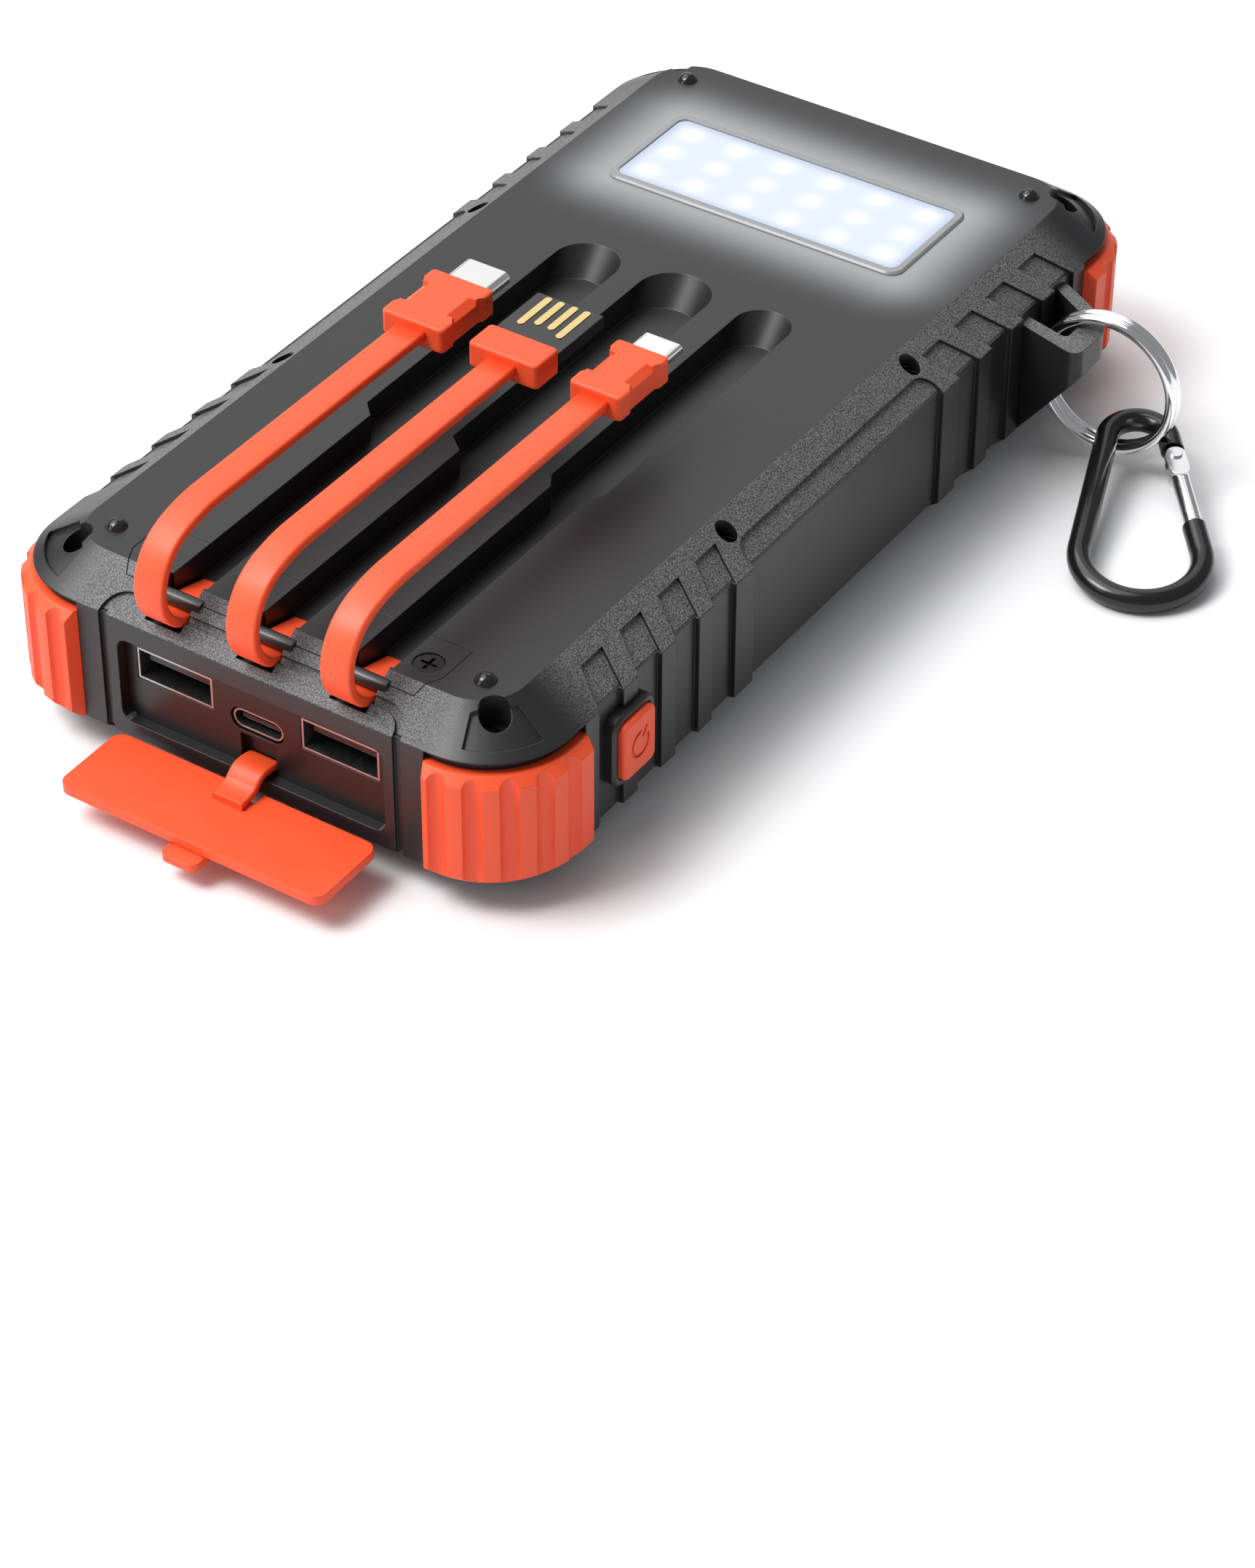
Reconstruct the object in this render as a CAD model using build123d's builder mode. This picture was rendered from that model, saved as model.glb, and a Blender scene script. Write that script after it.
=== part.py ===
from build123d import *
import math
import os

# Solar phone charger: a rugged power bank with built-in leads, solar panel, camping light and torches.
#
# Millimetres. The charger stands solar side down: origin at the centre of its base, +Z towards its back
# face, +X towards the button and lanyard loop, +Y towards the torches, so the ports are at -Y.

os.makedirs("parts", exist_ok=True)

# ---- driving dimensions ------------------------------------------------------------------------
HEIGHT = 31.5            # back face above the base
WALL_X = 46.4            # half width at the side wall
WALL_Y = 89.15           # half length at the end walls
WALL_RADIUS = 14.0
RIM_X = 38.2             # half width of the back face and of the solar-side rim
RIM_Y = 82.0
RIM_RADIUS = 7.5
WALL_BOTTOM = 5.3        # the vertical wall runs from here
SPLIT_Z = 26.24          # to here, where the back cover begins
SHELL = 2.4              # wall thickness
FLOOR_TOP = 3.2          # inside of the solar-side floor
CAVITY_Z = 6.6           # the cavity is full width above here
BOSS_TOP = 22.0
BOSS_RADIUS = 3.1
COLLAR_TOP = 30.0        # collars of the corner screw holes
COVER_SHELL = 1.6        # top skin of the back cover
GASKET = 0.7

CHANNEL_PITCH = 16.5     # the three leads and their channels
CHANNEL_X = [0.8 + CHANNEL_PITCH * k for k in (-1, 0, 1)]
CHANNEL_HALF = 3.2
CHANNEL_FLOOR = 27.0
TROUGH_SKIN = 1.4
POCKET_HALF = [5.6, 6.2, 4.75]     # finger pockets beside each connector
POCKET_START = -30.5
POCKET_END = 20.3
SCOOP_RUN = 4.0          # how far the pocket's end slopes in
LEAD_WIDTH = 5.2
LEAD_THICK = 1.6
LEAD_Z = 44.1            # height of the straight run above the base

COVER_X = 27.6           # cable cover plate
COVER_Y = (-83.7, -72.3)
COVER_THICK = 2.2
COVER_CORNER = (25.5, -79.5)          # where its cut corners end
COVER_SCREWS = [(-23.96, -77.74), (23.96, -77.74)]
TROUGH_Y = (-81.1, -74.9)           # the cable cover's troughs go down here
SLOT_SHIFT = -0.4
SLOT_FLOOR = 26.5
SLOT_END = -87.75
BAR_Y = -83.5
BAR_Z = 29.45
BAR_RADIUS = 1.2

BAY_X = 23.8             # port bay in the -Y wall
BAY_Z = (7.9, 22.9)
BAY_FLOOR_Y = -87.3
PANEL_FLANGE_Y = -86.75
PANEL_BACK_Y = -84.8
USB_A_X = 14.85
USB_A_SIZE = (13.9, 5.75)
USB_A_Z = 18.05
USB_C_SIZE = (9.6, 4.0)
USB_C_Z = 15.85
USB_A_MOUTH_Y = -87.2
USB_C_MOUTH_Y = -87.0
USB_A_CENTRES = [(-USB_A_X, USB_A_Z), (USB_A_X, USB_A_Z)]
BOARD_TOP = 15.0
BOARD_THICK = 1.6

FLAP_LENGTH = 14.4
FLAP_HALF = 23.6
FLAP_THICK = 1.9
FLAP_ROOT_Y = -90.5
FLAP_TOP = 6.5

BUMPER_X = 30.9          # where each bumper ends on the end walls
BUMPER_Y = 71.5          # and on the side walls
BUMPER_OUT = 2.0
BUMPER_IN = 1.0
BUMPER_Z = (5.3, 24.7)
BUMPER_BEVEL = 1.5

BUTTON_Y = -60.7
BUTTON_Z = 16.6
BUTTON_SIZE = (8.2, 10.0)
BUTTON_BACK_X = 43.1
BUTTON_FACE_X = 48.5
FLUTE_DEPTH = 0.8        # grip flutes down the side walls
GRIP_DEPTH = 0.6         # grip pockets on the chamfers
GRIP_HALF = 3.1          # half width of a flute and of a pocket
GRIP_PANEL = 54.4        # length of the plain panel between the flutes
GRIP_EDGE_Y = [sign * (35.3 + 9.9 * k) for sign in (-1, 1) for k in range(4)]

LIGHT_X = 26.4           # camping light lens
LIGHT_Y = (44.9, 65.1)
LIGHT_RIM = 1.4
LED_X = [-22.3, -13.4, -4.45, 4.45, 13.4, 22.3]
LED_Y = [48.5, 55.3, 61.4]

TORCH_X = 12.8
TORCH_Z = 15.05
TORCH_BEZEL = 9.4        # outer radius
TORCH_GLASS = 7.75
TORCH_CENTRES = [(-TORCH_X, TORCH_Z), (TORCH_X, TORCH_Z)]

CELL_HALF_X = 37.0       # solar panel recess
CELL_Y = (-73.0, 75.4)
CELL_RADIUS = 8.5
CELL_RECESS = 2.0
LAMP_Y = 79.7            # charge indicators beside the panel
LAMP_X = [0.4 + 4.45 * k for k in range(-2, 3)]

SCREW_SIDE = (40.64, 26.2)
SCREW_CORNER = (37.2, 80.5)
STUD = (32.93, 76.63)

BOARD_Y = -70.8
BOARD_SIZE = (82.0, 27.6)
BATTERY_Y = 2.5
BATTERY_SIZE = (66.0, 115.0)
BATTERY_THICK = 9.2
BATTERY_BOTTOM = (5.0, 14.8)       # under each of the two stacked cells

LOOP_TOP = 24.9
LOOP_ROUNDS = [1.8, 4.0, 6.0]      # corners of the lanyard loop, from the button end
LOOP_HOLE_ROUNDS = [0.9, 1.8]
RING_CENTRE = (59.2, 57.6, 15.95)
RING_RADIUS = 11.65      # to the middle of the wire
RING_WIRE = 0.87
HOOK_EYE = (65.4, 57.6, 6.95)      # middle of the carabiner's narrow end
HOOK_TILT = 8.0
HOOK_HEADING = -60.0
HOOK_WIRE = 1.9
HOOK_NARROW = 5.0
HOOK_WIDE = 9.6
HOOK_SPAN = 26.5         # between the centres of its two ends
PIVOT_AT = 5.2           # gate pin, measured along the gate side from its narrow end
NOSE_AT = 20.4           # where the gate meets the hook's nose

ANCHOR_Y = (-82.15, -75.0)         # moulded ends of the leads, under the cable cover
ANCHOR_TOP = SLOT_FLOOR + 2.0
BODY_START_Y = -26.2     # where the leads enter their connector grips
USB_C_GRIP_END = -12.5
USB_A_GRIP_END = -20.1
SLIM_GRIP_END = -12.8
PLUG_TOP = 46.1
PLUG_THICK = 4.3
PLUG_MIDDLE = PLUG_TOP - PLUG_THICK / 2
GRIP_ROUND = 0.45        # rounding of the connector grips
WAIST_Y = (-22.6, -15.9)           # finger waist of the two long grips
WAIST_DEPTH = 0.7
WAIST_RAMP = 0.9
WAIST_BEVEL = (1.3, 1.1)           # its bevel along the top, across and down
SLIM_INSERT = (5.2, 3.6, 0.5)      # dark insert on the slim plug: across, along, corner radius
SLIM_INSERT_Y = -9.9

CORNERS = [(1, 1), (-1, 1), (-1, -1), (1, -1)]
CORNER_SCREWS = [(a * SCREW_CORNER[0], b * SCREW_CORNER[1]) for a, b in CORNERS]
SIDE_SCREWS = [(a * SCREW_SIDE[0], b * SCREW_SIDE[1]) for a, b in CORNERS]
CORNER_NAMES = ["torch_right", "torch_left", "port_left", "port_right"]


def save(piece, name):
    """Label a finished piece and write its STEP file."""
    piece.part.label = name
    export_step(piece.part, f"parts/{name}.step")


def wall_outline(inset=0.0, mode=Mode.ADD):
    """Outline of the side wall, moved inwards by inset."""
    RectangleRounded(2 * (WALL_X - inset), 2 * (WALL_Y - inset), WALL_RADIUS - inset, mode=mode)


def rim_outline(inset=0.0):
    """Outline of the back face and of the solar-side rim, moved inwards by inset."""
    RectangleRounded(2 * (RIM_X - inset), 2 * (RIM_Y - inset), RIM_RADIUS - 0.6 * inset)


def long_chamfer(side, face):
    """Plane on a long chamfer: local x runs along the edge, local y away from the wall."""
    run = WALL_X - RIM_X
    drop = HEIGHT - SPLIT_Z if face > 0 else WALL_BOTTOM
    edge_z = SPLIT_Z if face > 0 else WALL_BOTTOM
    outwards = (side * drop, 0, face * run)
    return Plane(origin=(side * WALL_X, 0, edge_z), x_dir=(0, side * face, 0), z_dir=outwards)


def end_chamfer(end, face):
    """Plane on an end chamfer, laid out the same way."""
    run = WALL_Y - RIM_Y
    drop = HEIGHT - SPLIT_Z if face > 0 else WALL_BOTTOM
    edge_z = SPLIT_Z if face > 0 else WALL_BOTTOM
    outwards = (0, end * drop, face * run)
    return Plane(origin=(0, end * WALL_Y, edge_z), x_dir=(-end * face, 0, 0), z_dir=outwards)


def grip_pockets():
    """Profiles of the eight slanting grip pockets and the long middle panel on one chamfer."""
    for edge_y in GRIP_EDGE_Y:
        top_y = edge_y - math.copysign(GRIP_HALF, edge_y)
        with BuildLine() as pocket:
            Polyline(
                (edge_y - GRIP_HALF, 0), (edge_y + GRIP_HALF, 0), (top_y + 2.75, 6.6), (top_y - 2.75, 6.6),
                close=True,
            )
        make_face(pocket.edges())
    with Locations((0, 0)):
        RectangleRounded(GRIP_PANEL, 9.5, 3.2)


def end_groove():
    """Profile of the groove that frames the end panel, where it crosses the chamfer."""
    RectangleRounded(53.8, 9.4, 4.4)
    RectangleRounded(51.0, 6.6, 3.0, mode=Mode.SUBTRACT)


def corner_recesses(edge_z, rim_z):
    """Thin skins to take off the four chamfered corners, wide at the wall and narrow at the rim."""
    with BuildPart() as skins:
        with BuildSketch(Plane.XY.offset(min(edge_z, rim_z) - 0.5)):
            for across, along in CORNERS:
                heading = math.degrees(math.atan2(along * 0.9, across))
                with Locations(Location((across * SCREW_CORNER[0], along * SCREW_CORNER[1], 0), heading)):
                    Polygon((-0.5, -3.4), (9.0, -8.6), (9.0, 8.6), (-0.5, 3.4), align=None)
            wall_limit = 2 * (WALL_X - 1.7), 2 * (WALL_Y - 1.7), WALL_RADIUS - 1.7
            RectangleRounded(*wall_limit, mode=Mode.INTERSECT)
        extrude(amount=abs(rim_z - edge_z) + 1.0)
        with BuildSketch(Plane.XY.offset(edge_z)):
            wall_outline(1.1)
        with BuildSketch(Plane.XY.offset(rim_z)):
            rim_outline(1.1)
        loft(ruled=True, mode=Mode.SUBTRACT)
    return skins.part


def channel_outline(centre_x, pocket_half, end_y, start_y, grow=0.0):
    """Outline of one cable channel, which widens into a finger pocket with a round end."""
    narrow = CHANNEL_HALF + grow
    wide = pocket_half + grow
    flare_y = POCKET_START - 2.5
    with BuildLine() as channel:
        Polyline(
            (centre_x - wide, end_y),
            (centre_x - wide, POCKET_START),
            (centre_x - narrow, flare_y),
            (centre_x - narrow, start_y),
            (centre_x + narrow, start_y),
            (centre_x + narrow, flare_y),
            (centre_x + wide, POCKET_START),
            (centre_x + wide, end_y),
        )
        ThreePointArc((centre_x + wide, end_y), (centre_x, end_y + wide), (centre_x - wide, end_y))
    make_face(channel.edges())


def cover_outline(inset=0.0):
    """Outline of the cable cover plate."""
    with BuildLine() as plate:
        Polyline(
            (-COVER_X + inset, COVER_Y[1] - inset),
            (-COVER_X + inset, COVER_CORNER[1]),
            (-COVER_CORNER[0] + inset, COVER_Y[0] + inset),
            (COVER_CORNER[0] - inset, COVER_Y[0] + inset),
            (COVER_X - inset, COVER_CORNER[1]),
            (COVER_X - inset, COVER_Y[1] - inset),
            close=True,
        )
    make_face(plate.edges())


def closed_case():
    """Outer shape of the back cover, without its hollow."""
    with BuildPart() as shape:
        with BuildSketch(Plane.XY.offset(SPLIT_Z)):
            wall_outline()
        with BuildSketch(Plane.XY.offset(HEIGHT)):
            rim_outline()
        loft(ruled=True)
    return shape.part


def bar_seats():
    """Cut the three round seats that hold the lead bars."""
    for centre_x in CHANNEL_X:
        with Locations(Location((centre_x + SLOT_SHIFT, BAR_Y, BAR_Z), (0, 90, 0))):
            Cylinder(BAR_RADIUS, 2 * CHANNEL_HALF + 2.4, mode=Mode.SUBTRACT)


def slot_cuts():
    """Cut the three slots that the leads come out of, through the chamfer."""
    with BuildSketch(Plane.XY.offset(SLOT_FLOOR)) as slots:
        for centre_x in CHANNEL_X:
            with Locations((centre_x + SLOT_SHIFT, (SLOT_END + TROUGH_Y[0]) / 2)):
                Rectangle(2 * CHANNEL_HALF, TROUGH_Y[0] - SLOT_END)
    extrude(slots.sketch, amount=HEIGHT - SLOT_FLOOR + 1, mode=Mode.SUBTRACT)


# ---- cases -------------------------------------------------------------------------------------
with BuildPart() as front_housing:
    with BuildSketch(Plane.XY):
        rim_outline()
    with BuildSketch(Plane.XY.offset(WALL_BOTTOM)):
        wall_outline()
    loft(ruled=True)
    with BuildSketch(Plane.XY.offset(WALL_BOTTOM)):
        wall_outline()
    extrude(amount=SPLIT_Z - WALL_BOTTOM)
    # hollow above its floor
    with BuildSketch(Plane.XY.offset(FLOOR_TOP)):
        RectangleRounded(78.0, 165.0, 7.0)
    with BuildSketch(Plane.XY.offset(CAVITY_Z)):
        wall_outline(SHELL)
    loft(ruled=True, mode=Mode.SUBTRACT)
    with BuildSketch(Plane.XY.offset(CAVITY_Z)):
        wall_outline(SHELL)
    extrude(amount=SPLIT_Z - CAVITY_Z, mode=Mode.SUBTRACT)
    # screw bosses
    with BuildSketch(Plane.XY.offset(FLOOR_TOP)):
        with Locations(*CORNER_SCREWS, *SIDE_SCREWS):
            Circle(BOSS_RADIUS)
        wall_outline(SHELL - 0.5, mode=Mode.INTERSECT)
    extrude(amount=BOSS_TOP - FLOOR_TOP)
    with BuildSketch(Plane.XY.offset(BOSS_TOP)):
        with Locations(*CORNER_SCREWS, *SIDE_SCREWS):
            Circle(1.0)
    extrude(amount=-12, mode=Mode.SUBTRACT)
    # gasket groove round the top of the wall
    with BuildSketch(Plane.XY.offset(SPLIT_Z - GASKET)):
        wall_outline(1.3)
        wall_outline(1.3 + GASKET, mode=Mode.SUBTRACT)
    extrude(amount=GASKET, mode=Mode.SUBTRACT)
    # seats behind the corner bumpers, open up to the back cover
    with BuildSketch(Plane.XY.offset(BUMPER_Z[0])):
        with Locations(*[(a * (BUMPER_X + 10), b * (BUMPER_Y + 10)) for a, b in CORNERS]):
            Rectangle(20, 20)
        wall_outline(BUMPER_IN, mode=Mode.SUBTRACT)
    extrude(amount=SPLIT_Z - BUMPER_Z[0], mode=Mode.SUBTRACT)
    # grip flutes down both side walls, and the pockets on the solar-side chamfers
    with BuildSketch(Plane.XY.offset(WALL_BOTTOM)):
        for side in (-1, 1):
            with Locations(*[(side * (WALL_X + 1 - FLUTE_DEPTH), y) for y in GRIP_EDGE_Y]):
                Rectangle(2, 2 * GRIP_HALF)
            with Locations((side * (WALL_X + 1 - FLUTE_DEPTH), 0)):
                Rectangle(2, GRIP_PANEL)
    extrude(amount=SPLIT_Z - WALL_BOTTOM, mode=Mode.SUBTRACT)
    for side in (-1, 1):
        with BuildSketch(long_chamfer(side, -1)):
            grip_pockets()
        extrude(amount=-GRIP_DEPTH, mode=Mode.SUBTRACT)
    add(corner_recesses(WALL_BOTTOM, 0), mode=Mode.SUBTRACT)
    # grooves that frame both end panels
    with BuildSketch(Plane.XY.offset(WALL_BOTTOM)):
        with Locations(*[(a * 26.2, b * WALL_Y) for a, b in CORNERS]):
            Rectangle(1.4, 1.2)
    extrude(amount=SPLIT_Z - WALL_BOTTOM, mode=Mode.SUBTRACT)
    for end in (-1, 1):
        with BuildSketch(end_chamfer(end, -1)):
            end_groove()
        extrude(amount=-0.6, mode=Mode.SUBTRACT)
    # port bay through the end wall
    with BuildSketch(Plane.XZ.offset(WALL_Y - 5)):
        with Locations((0, sum(BAY_Z) / 2)):
            RectangleRounded(2 * BAY_X, BAY_Z[1] - BAY_Z[0], 2.0)
    extrude(amount=10, mode=Mode.SUBTRACT)
    # torch openings
    with BuildSketch(Plane.XZ.offset(-WALL_Y - 1)):
        with Locations(*TORCH_CENTRES):
            Circle(TORCH_BEZEL - 1.0)
    extrude(amount=6, mode=Mode.SUBTRACT)
    # button opening with the seat of its frame
    with BuildSketch(Plane.YZ.offset(WALL_X - 4)):
        with Locations((BUTTON_Y, BUTTON_Z)):
            RectangleRounded(BUTTON_SIZE[0] + 0.4, BUTTON_SIZE[1] + 0.4, 1.6)
    extrude(amount=5, mode=Mode.SUBTRACT)
    with BuildSketch(Plane.YZ.offset(WALL_X - FLUTE_DEPTH)):
        with Locations((BUTTON_Y, BUTTON_Z)):
            RectangleRounded(BUTTON_SIZE[0] + 2.6, BUTTON_SIZE[1] + 2.6, 2.6)
    extrude(amount=5, mode=Mode.SUBTRACT)
    # solar panel recess, its wire hole and the indicator holes
    with BuildSketch(Plane.XY):
        with Locations((0, sum(CELL_Y) / 2)):
            RectangleRounded(2 * CELL_HALF_X, CELL_Y[1] - CELL_Y[0], CELL_RADIUS)
    extrude(amount=CELL_RECESS, mode=Mode.SUBTRACT)
    with BuildSketch(Plane.XY):
        with Locations((0, 66)):
            Circle(1.5)
        with Locations(*[(x, LAMP_Y) for x in LAMP_X]):
            Circle(1.0)
    extrude(amount=FLOOR_TOP, mode=Mode.SUBTRACT)
save(front_housing, "front_housing")

with BuildPart() as back_cover:
    add(closed_case())
    with BuildSketch(Plane.XY.offset(SPLIT_Z)):
        RectangleRounded(86.4, 172.4, 11.0)
    with BuildSketch(Plane.XY.offset(HEIGHT - COVER_SHELL)):
        RectangleRounded(75.0, 162.6, 6.6)
    loft(ruled=True, mode=Mode.SUBTRACT)
    # troughs under the channels, blocks under the slots and the ledge of the cable cover
    with BuildSketch(Plane.XY.offset(CHANNEL_FLOOR - TROUGH_SKIN)):
        for centre_x, half in zip(CHANNEL_X, POCKET_HALF):
            channel_outline(centre_x, half, POCKET_END, TROUGH_Y[1], grow=TROUGH_SKIN)
    extrude(amount=HEIGHT - 1.0 - CHANNEL_FLOOR + TROUGH_SKIN)
    with BuildSketch(Plane.XY.offset(SLOT_FLOOR - 1.2)):
        with Locations(*[(x, -83.85) for x in CHANNEL_X]):
            Rectangle(2 * (CHANNEL_HALF + TROUGH_SKIN), 5.3)
    extrude(amount=2.0)
    with BuildSketch(Plane.XY.offset(HEIGHT - COVER_THICK - 1.5)):
        cover_outline(-0.8)
    extrude(amount=1.5)
    # screw tubes, which stand out of the corners as low collars
    with BuildSketch(Plane.XY.offset(BOSS_TOP)):
        with Locations(*CORNER_SCREWS):
            Circle(BOSS_RADIUS)
    extrude(amount=COLLAR_TOP - BOSS_TOP)
    with BuildSketch(Plane.XY.offset(BOSS_TOP)):
        with Locations(*SIDE_SCREWS):
            Circle(BOSS_RADIUS)
        wall_outline(SHELL + 0.1, mode=Mode.INTERSECT)
    extrude(amount=27.6 - BOSS_TOP)
    # channels, with scooped ends
    for centre_x, half in zip(CHANNEL_X, POCKET_HALF):
        with BuildSketch(Plane.XY.offset(CHANNEL_FLOOR)):
            channel_outline(centre_x, half, POCKET_END - SCOOP_RUN, TROUGH_Y[1] - 0.2)
        with BuildSketch(Plane.XY.offset(HEIGHT + 0.45)):
            channel_outline(centre_x, half, POCKET_END + 0.4, TROUGH_Y[1] - 0.2)
        loft(ruled=True, mode=Mode.SUBTRACT)
    # seat of the cable cover, openings for its troughs, and the lead slots
    with BuildSketch(Plane.XY.offset(HEIGHT - COVER_THICK)):
        cover_outline(-0.1)
    extrude(amount=COVER_THICK + 1, mode=Mode.SUBTRACT)
    with BuildSketch(Plane.XY.offset(SLOT_FLOOR - 2)):
        with Locations(*[(x, sum(TROUGH_Y) / 2) for x in CHANNEL_X]):
            Rectangle(2 * (CHANNEL_HALF + TROUGH_SKIN), TROUGH_Y[1] - TROUGH_Y[0])
    extrude(amount=6, mode=Mode.SUBTRACT)
    slot_cuts()
    bar_seats()
    with BuildSketch(Plane.XY.offset(HEIGHT - 5)):
        with Locations(*COVER_SCREWS):
            Circle(0.95)
    extrude(amount=5, mode=Mode.SUBTRACT)
    # camping light window
    with BuildSketch(Plane.XY.offset(HEIGHT - 3)):
        with Locations((0, sum(LIGHT_Y) / 2)):
            RectangleRounded(2 * LIGHT_X + 0.2, LIGHT_Y[1] - LIGHT_Y[0] + 0.2, 1.7)
    extrude(amount=4, mode=Mode.SUBTRACT)
    # screw holes and the holes of the corner studs
    with BuildSketch(Plane.XY.offset(BOSS_TOP + 3)):
        with Locations(*CORNER_SCREWS):
            Circle(2.3)
        with Locations(*SIDE_SCREWS):
            Circle(1.7)
    extrude(amount=8, mode=Mode.SUBTRACT)
    with BuildSketch(Plane.XY.offset(BOSS_TOP)):
        with Locations(*CORNER_SCREWS, *SIDE_SCREWS):
            Circle(1.2)
    extrude(amount=4, mode=Mode.SUBTRACT)
    with BuildSketch(Plane.XY.offset(HEIGHT - 1)):
        with Locations(*[(a * STUD[0], b * STUD[1]) for a, b in CORNERS]):
            Circle(0.8)
    extrude(amount=2, mode=Mode.SUBTRACT)
    # grip pockets, corner recesses and end grooves on the chamfers
    for side in (-1, 1):
        with BuildSketch(long_chamfer(side, 1)):
            grip_pockets()
        extrude(amount=-GRIP_DEPTH, mode=Mode.SUBTRACT)
    add(corner_recesses(SPLIT_Z, HEIGHT), mode=Mode.SUBTRACT)
    for end in (-1, 1):
        with BuildSketch(end_chamfer(end, 1)):
            end_groove()
        extrude(amount=-0.6, mode=Mode.SUBTRACT)
save(back_cover, "back_cover")

with BuildPart() as case_gasket:
    with BuildSketch(Plane.XY.offset(SPLIT_Z - GASKET)):
        wall_outline(1.35)
        wall_outline(1.25 + GASKET, mode=Mode.SUBTRACT)
    extrude(amount=GASKET)
save(case_gasket, "case_gasket")

with BuildPart() as case_screws:
    for points, head_radius in ((CORNER_SCREWS, 2.1), (SIDE_SCREWS, 1.6)):
        with BuildSketch(Plane.XY.offset(BOSS_TOP + 3)):
            with Locations(*points):
                Circle(head_radius)
        extrude(amount=1.6)
        with BuildSketch(Plane.XY.offset(BOSS_TOP + 3)):
            with Locations(*points):
                Circle(0.95)
        extrude(amount=-12)
        with BuildSketch(Plane.XY.offset(BOSS_TOP + 4.6)):
            with Locations(*points):
                Rectangle(2.0, 0.5)
                Rectangle(0.5, 2.0)
        extrude(amount=-0.7, mode=Mode.SUBTRACT)
save(case_screws, "case_screws")

with BuildPart() as corner_studs:
    with Locations(*[(a * STUD[0], b * STUD[1], HEIGHT - 0.55) for a, b in CORNERS]):
        Sphere(1.78)
    with BuildSketch(Plane.XY.offset(HEIGHT)):
        Rectangle(100, 200)
    extrude(amount=3, mode=Mode.INTERSECT)
    with BuildSketch(Plane.XY.offset(HEIGHT)):
        with Locations(*[(a * STUD[0], b * STUD[1]) for a, b in CORNERS]):
            Circle(0.75)
    extrude(amount=-0.9)
save(corner_studs, "corner_studs")

# ---- solar side --------------------------------------------------------------------------------
for name, bottom, thick in (("solar_cover", 0.4, 0.8), ("solar_cell", 1.2, 0.8)):
    with BuildPart() as sheet:
        with BuildSketch(Plane.XY.offset(bottom)):
            with Locations((0, sum(CELL_Y) / 2)):
                RectangleRounded(2 * CELL_HALF_X - 0.6, CELL_Y[1] - CELL_Y[0] - 0.6, CELL_RADIUS - 0.3)
        extrude(amount=thick)
    save(sheet, name)

for name, positions in (("charge_light_pipes", LAMP_X[:4]), ("solar_light_pipe", LAMP_X[4:])):
    with BuildPart() as pipes:
        with BuildSketch(Plane.XY.offset(0.1)):
            with Locations(*[(x, LAMP_Y) for x in positions]):
                Circle(0.98)
        extrude(amount=FLOOR_TOP + 0.4)
    save(pipes, name)

# ---- camping light -----------------------------------------------------------------------------
LIGHT_MIDDLE = (0, sum(LIGHT_Y) / 2)
LIGHT_SIZE = (2 * LIGHT_X, LIGHT_Y[1] - LIGHT_Y[0])

with BuildPart() as camping_light_lens:
    with BuildSketch(Plane.XY.offset(HEIGHT - 1.3)):
        with Locations(LIGHT_MIDDLE):
            RectangleRounded(*LIGHT_SIZE, 1.6)
    extrude(amount=1.6)
save(camping_light_lens, "camping_light_lens")

with BuildPart() as camping_light_rim:
    with BuildSketch(Plane.XY.offset(HEIGHT)):
        with Locations(LIGHT_MIDDLE):
            RectangleRounded(LIGHT_SIZE[0] + 2 * LIGHT_RIM, LIGHT_SIZE[1] + 2 * LIGHT_RIM, 2.5)
            RectangleRounded(LIGHT_SIZE[0] + 0.1, LIGHT_SIZE[1] + 0.1, 1.65, mode=Mode.SUBTRACT)
    extrude(amount=0.6)
    chamfer(camping_light_rim.faces().sort_by(Axis.Z)[-1].outer_wire().edges(), 0.35)
save(camping_light_rim, "camping_light_rim")

with BuildPart() as camping_light_board:
    with BuildSketch(Plane.XY.offset(26.6)):
        with Locations(LIGHT_MIDDLE):
            Rectangle(52.0, 19.0)
    extrude(amount=1.0)
save(camping_light_board, "camping_light_board")

with BuildPart() as camping_light_leds:
    with BuildSketch(Plane.XY.offset(27.6)):
        with Locations(*[(x, y) for x in LED_X for y in LED_Y]):
            Rectangle(3.5, 2.8)
    extrude(amount=0.8)
save(camping_light_leds, "camping_light_leds")

# ---- torches -----------------------------------------------------------------------------------
for side, word in ((-1, "left"), (1, "right")):
    torch_axis = Axis((side * TORCH_X, 0, TORCH_Z), (0, 1, 0))
    torch_section = Plane(origin=(side * TORCH_X, 0, TORCH_Z), x_dir=(1, 0, 0), z_dir=(0, 0, 1))
    with BuildPart() as torch_bezel:
        with BuildSketch(torch_section):
            with BuildLine():
                Polyline(
                    (TORCH_GLASS + 0.1, 86.9), (8.35, 86.9), (8.35, WALL_Y), (TORCH_BEZEL, WALL_Y),
                    (TORCH_BEZEL, WALL_Y + 0.7), (TORCH_BEZEL - 0.5, WALL_Y + 1.25),
                    (TORCH_GLASS + 0.6, WALL_Y + 1.25), (TORCH_GLASS + 0.1, WALL_Y + 0.75), close=True,
                )
            make_face()
        revolve(axis=torch_axis)
    save(torch_bezel, f"torch_bezel_{word}")

with BuildPart() as torch_lenses:
    with BuildSketch(Plane.XZ.offset(-88.6)):
        with Locations(*TORCH_CENTRES):
            Circle(TORCH_GLASS)
    extrude(amount=-1.6)
    fillet(torch_lenses.faces().filter_by(Axis.Y).group_by(Axis.Y)[-1].edges(), 0.6)
save(torch_lenses, "torch_lenses")

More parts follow.
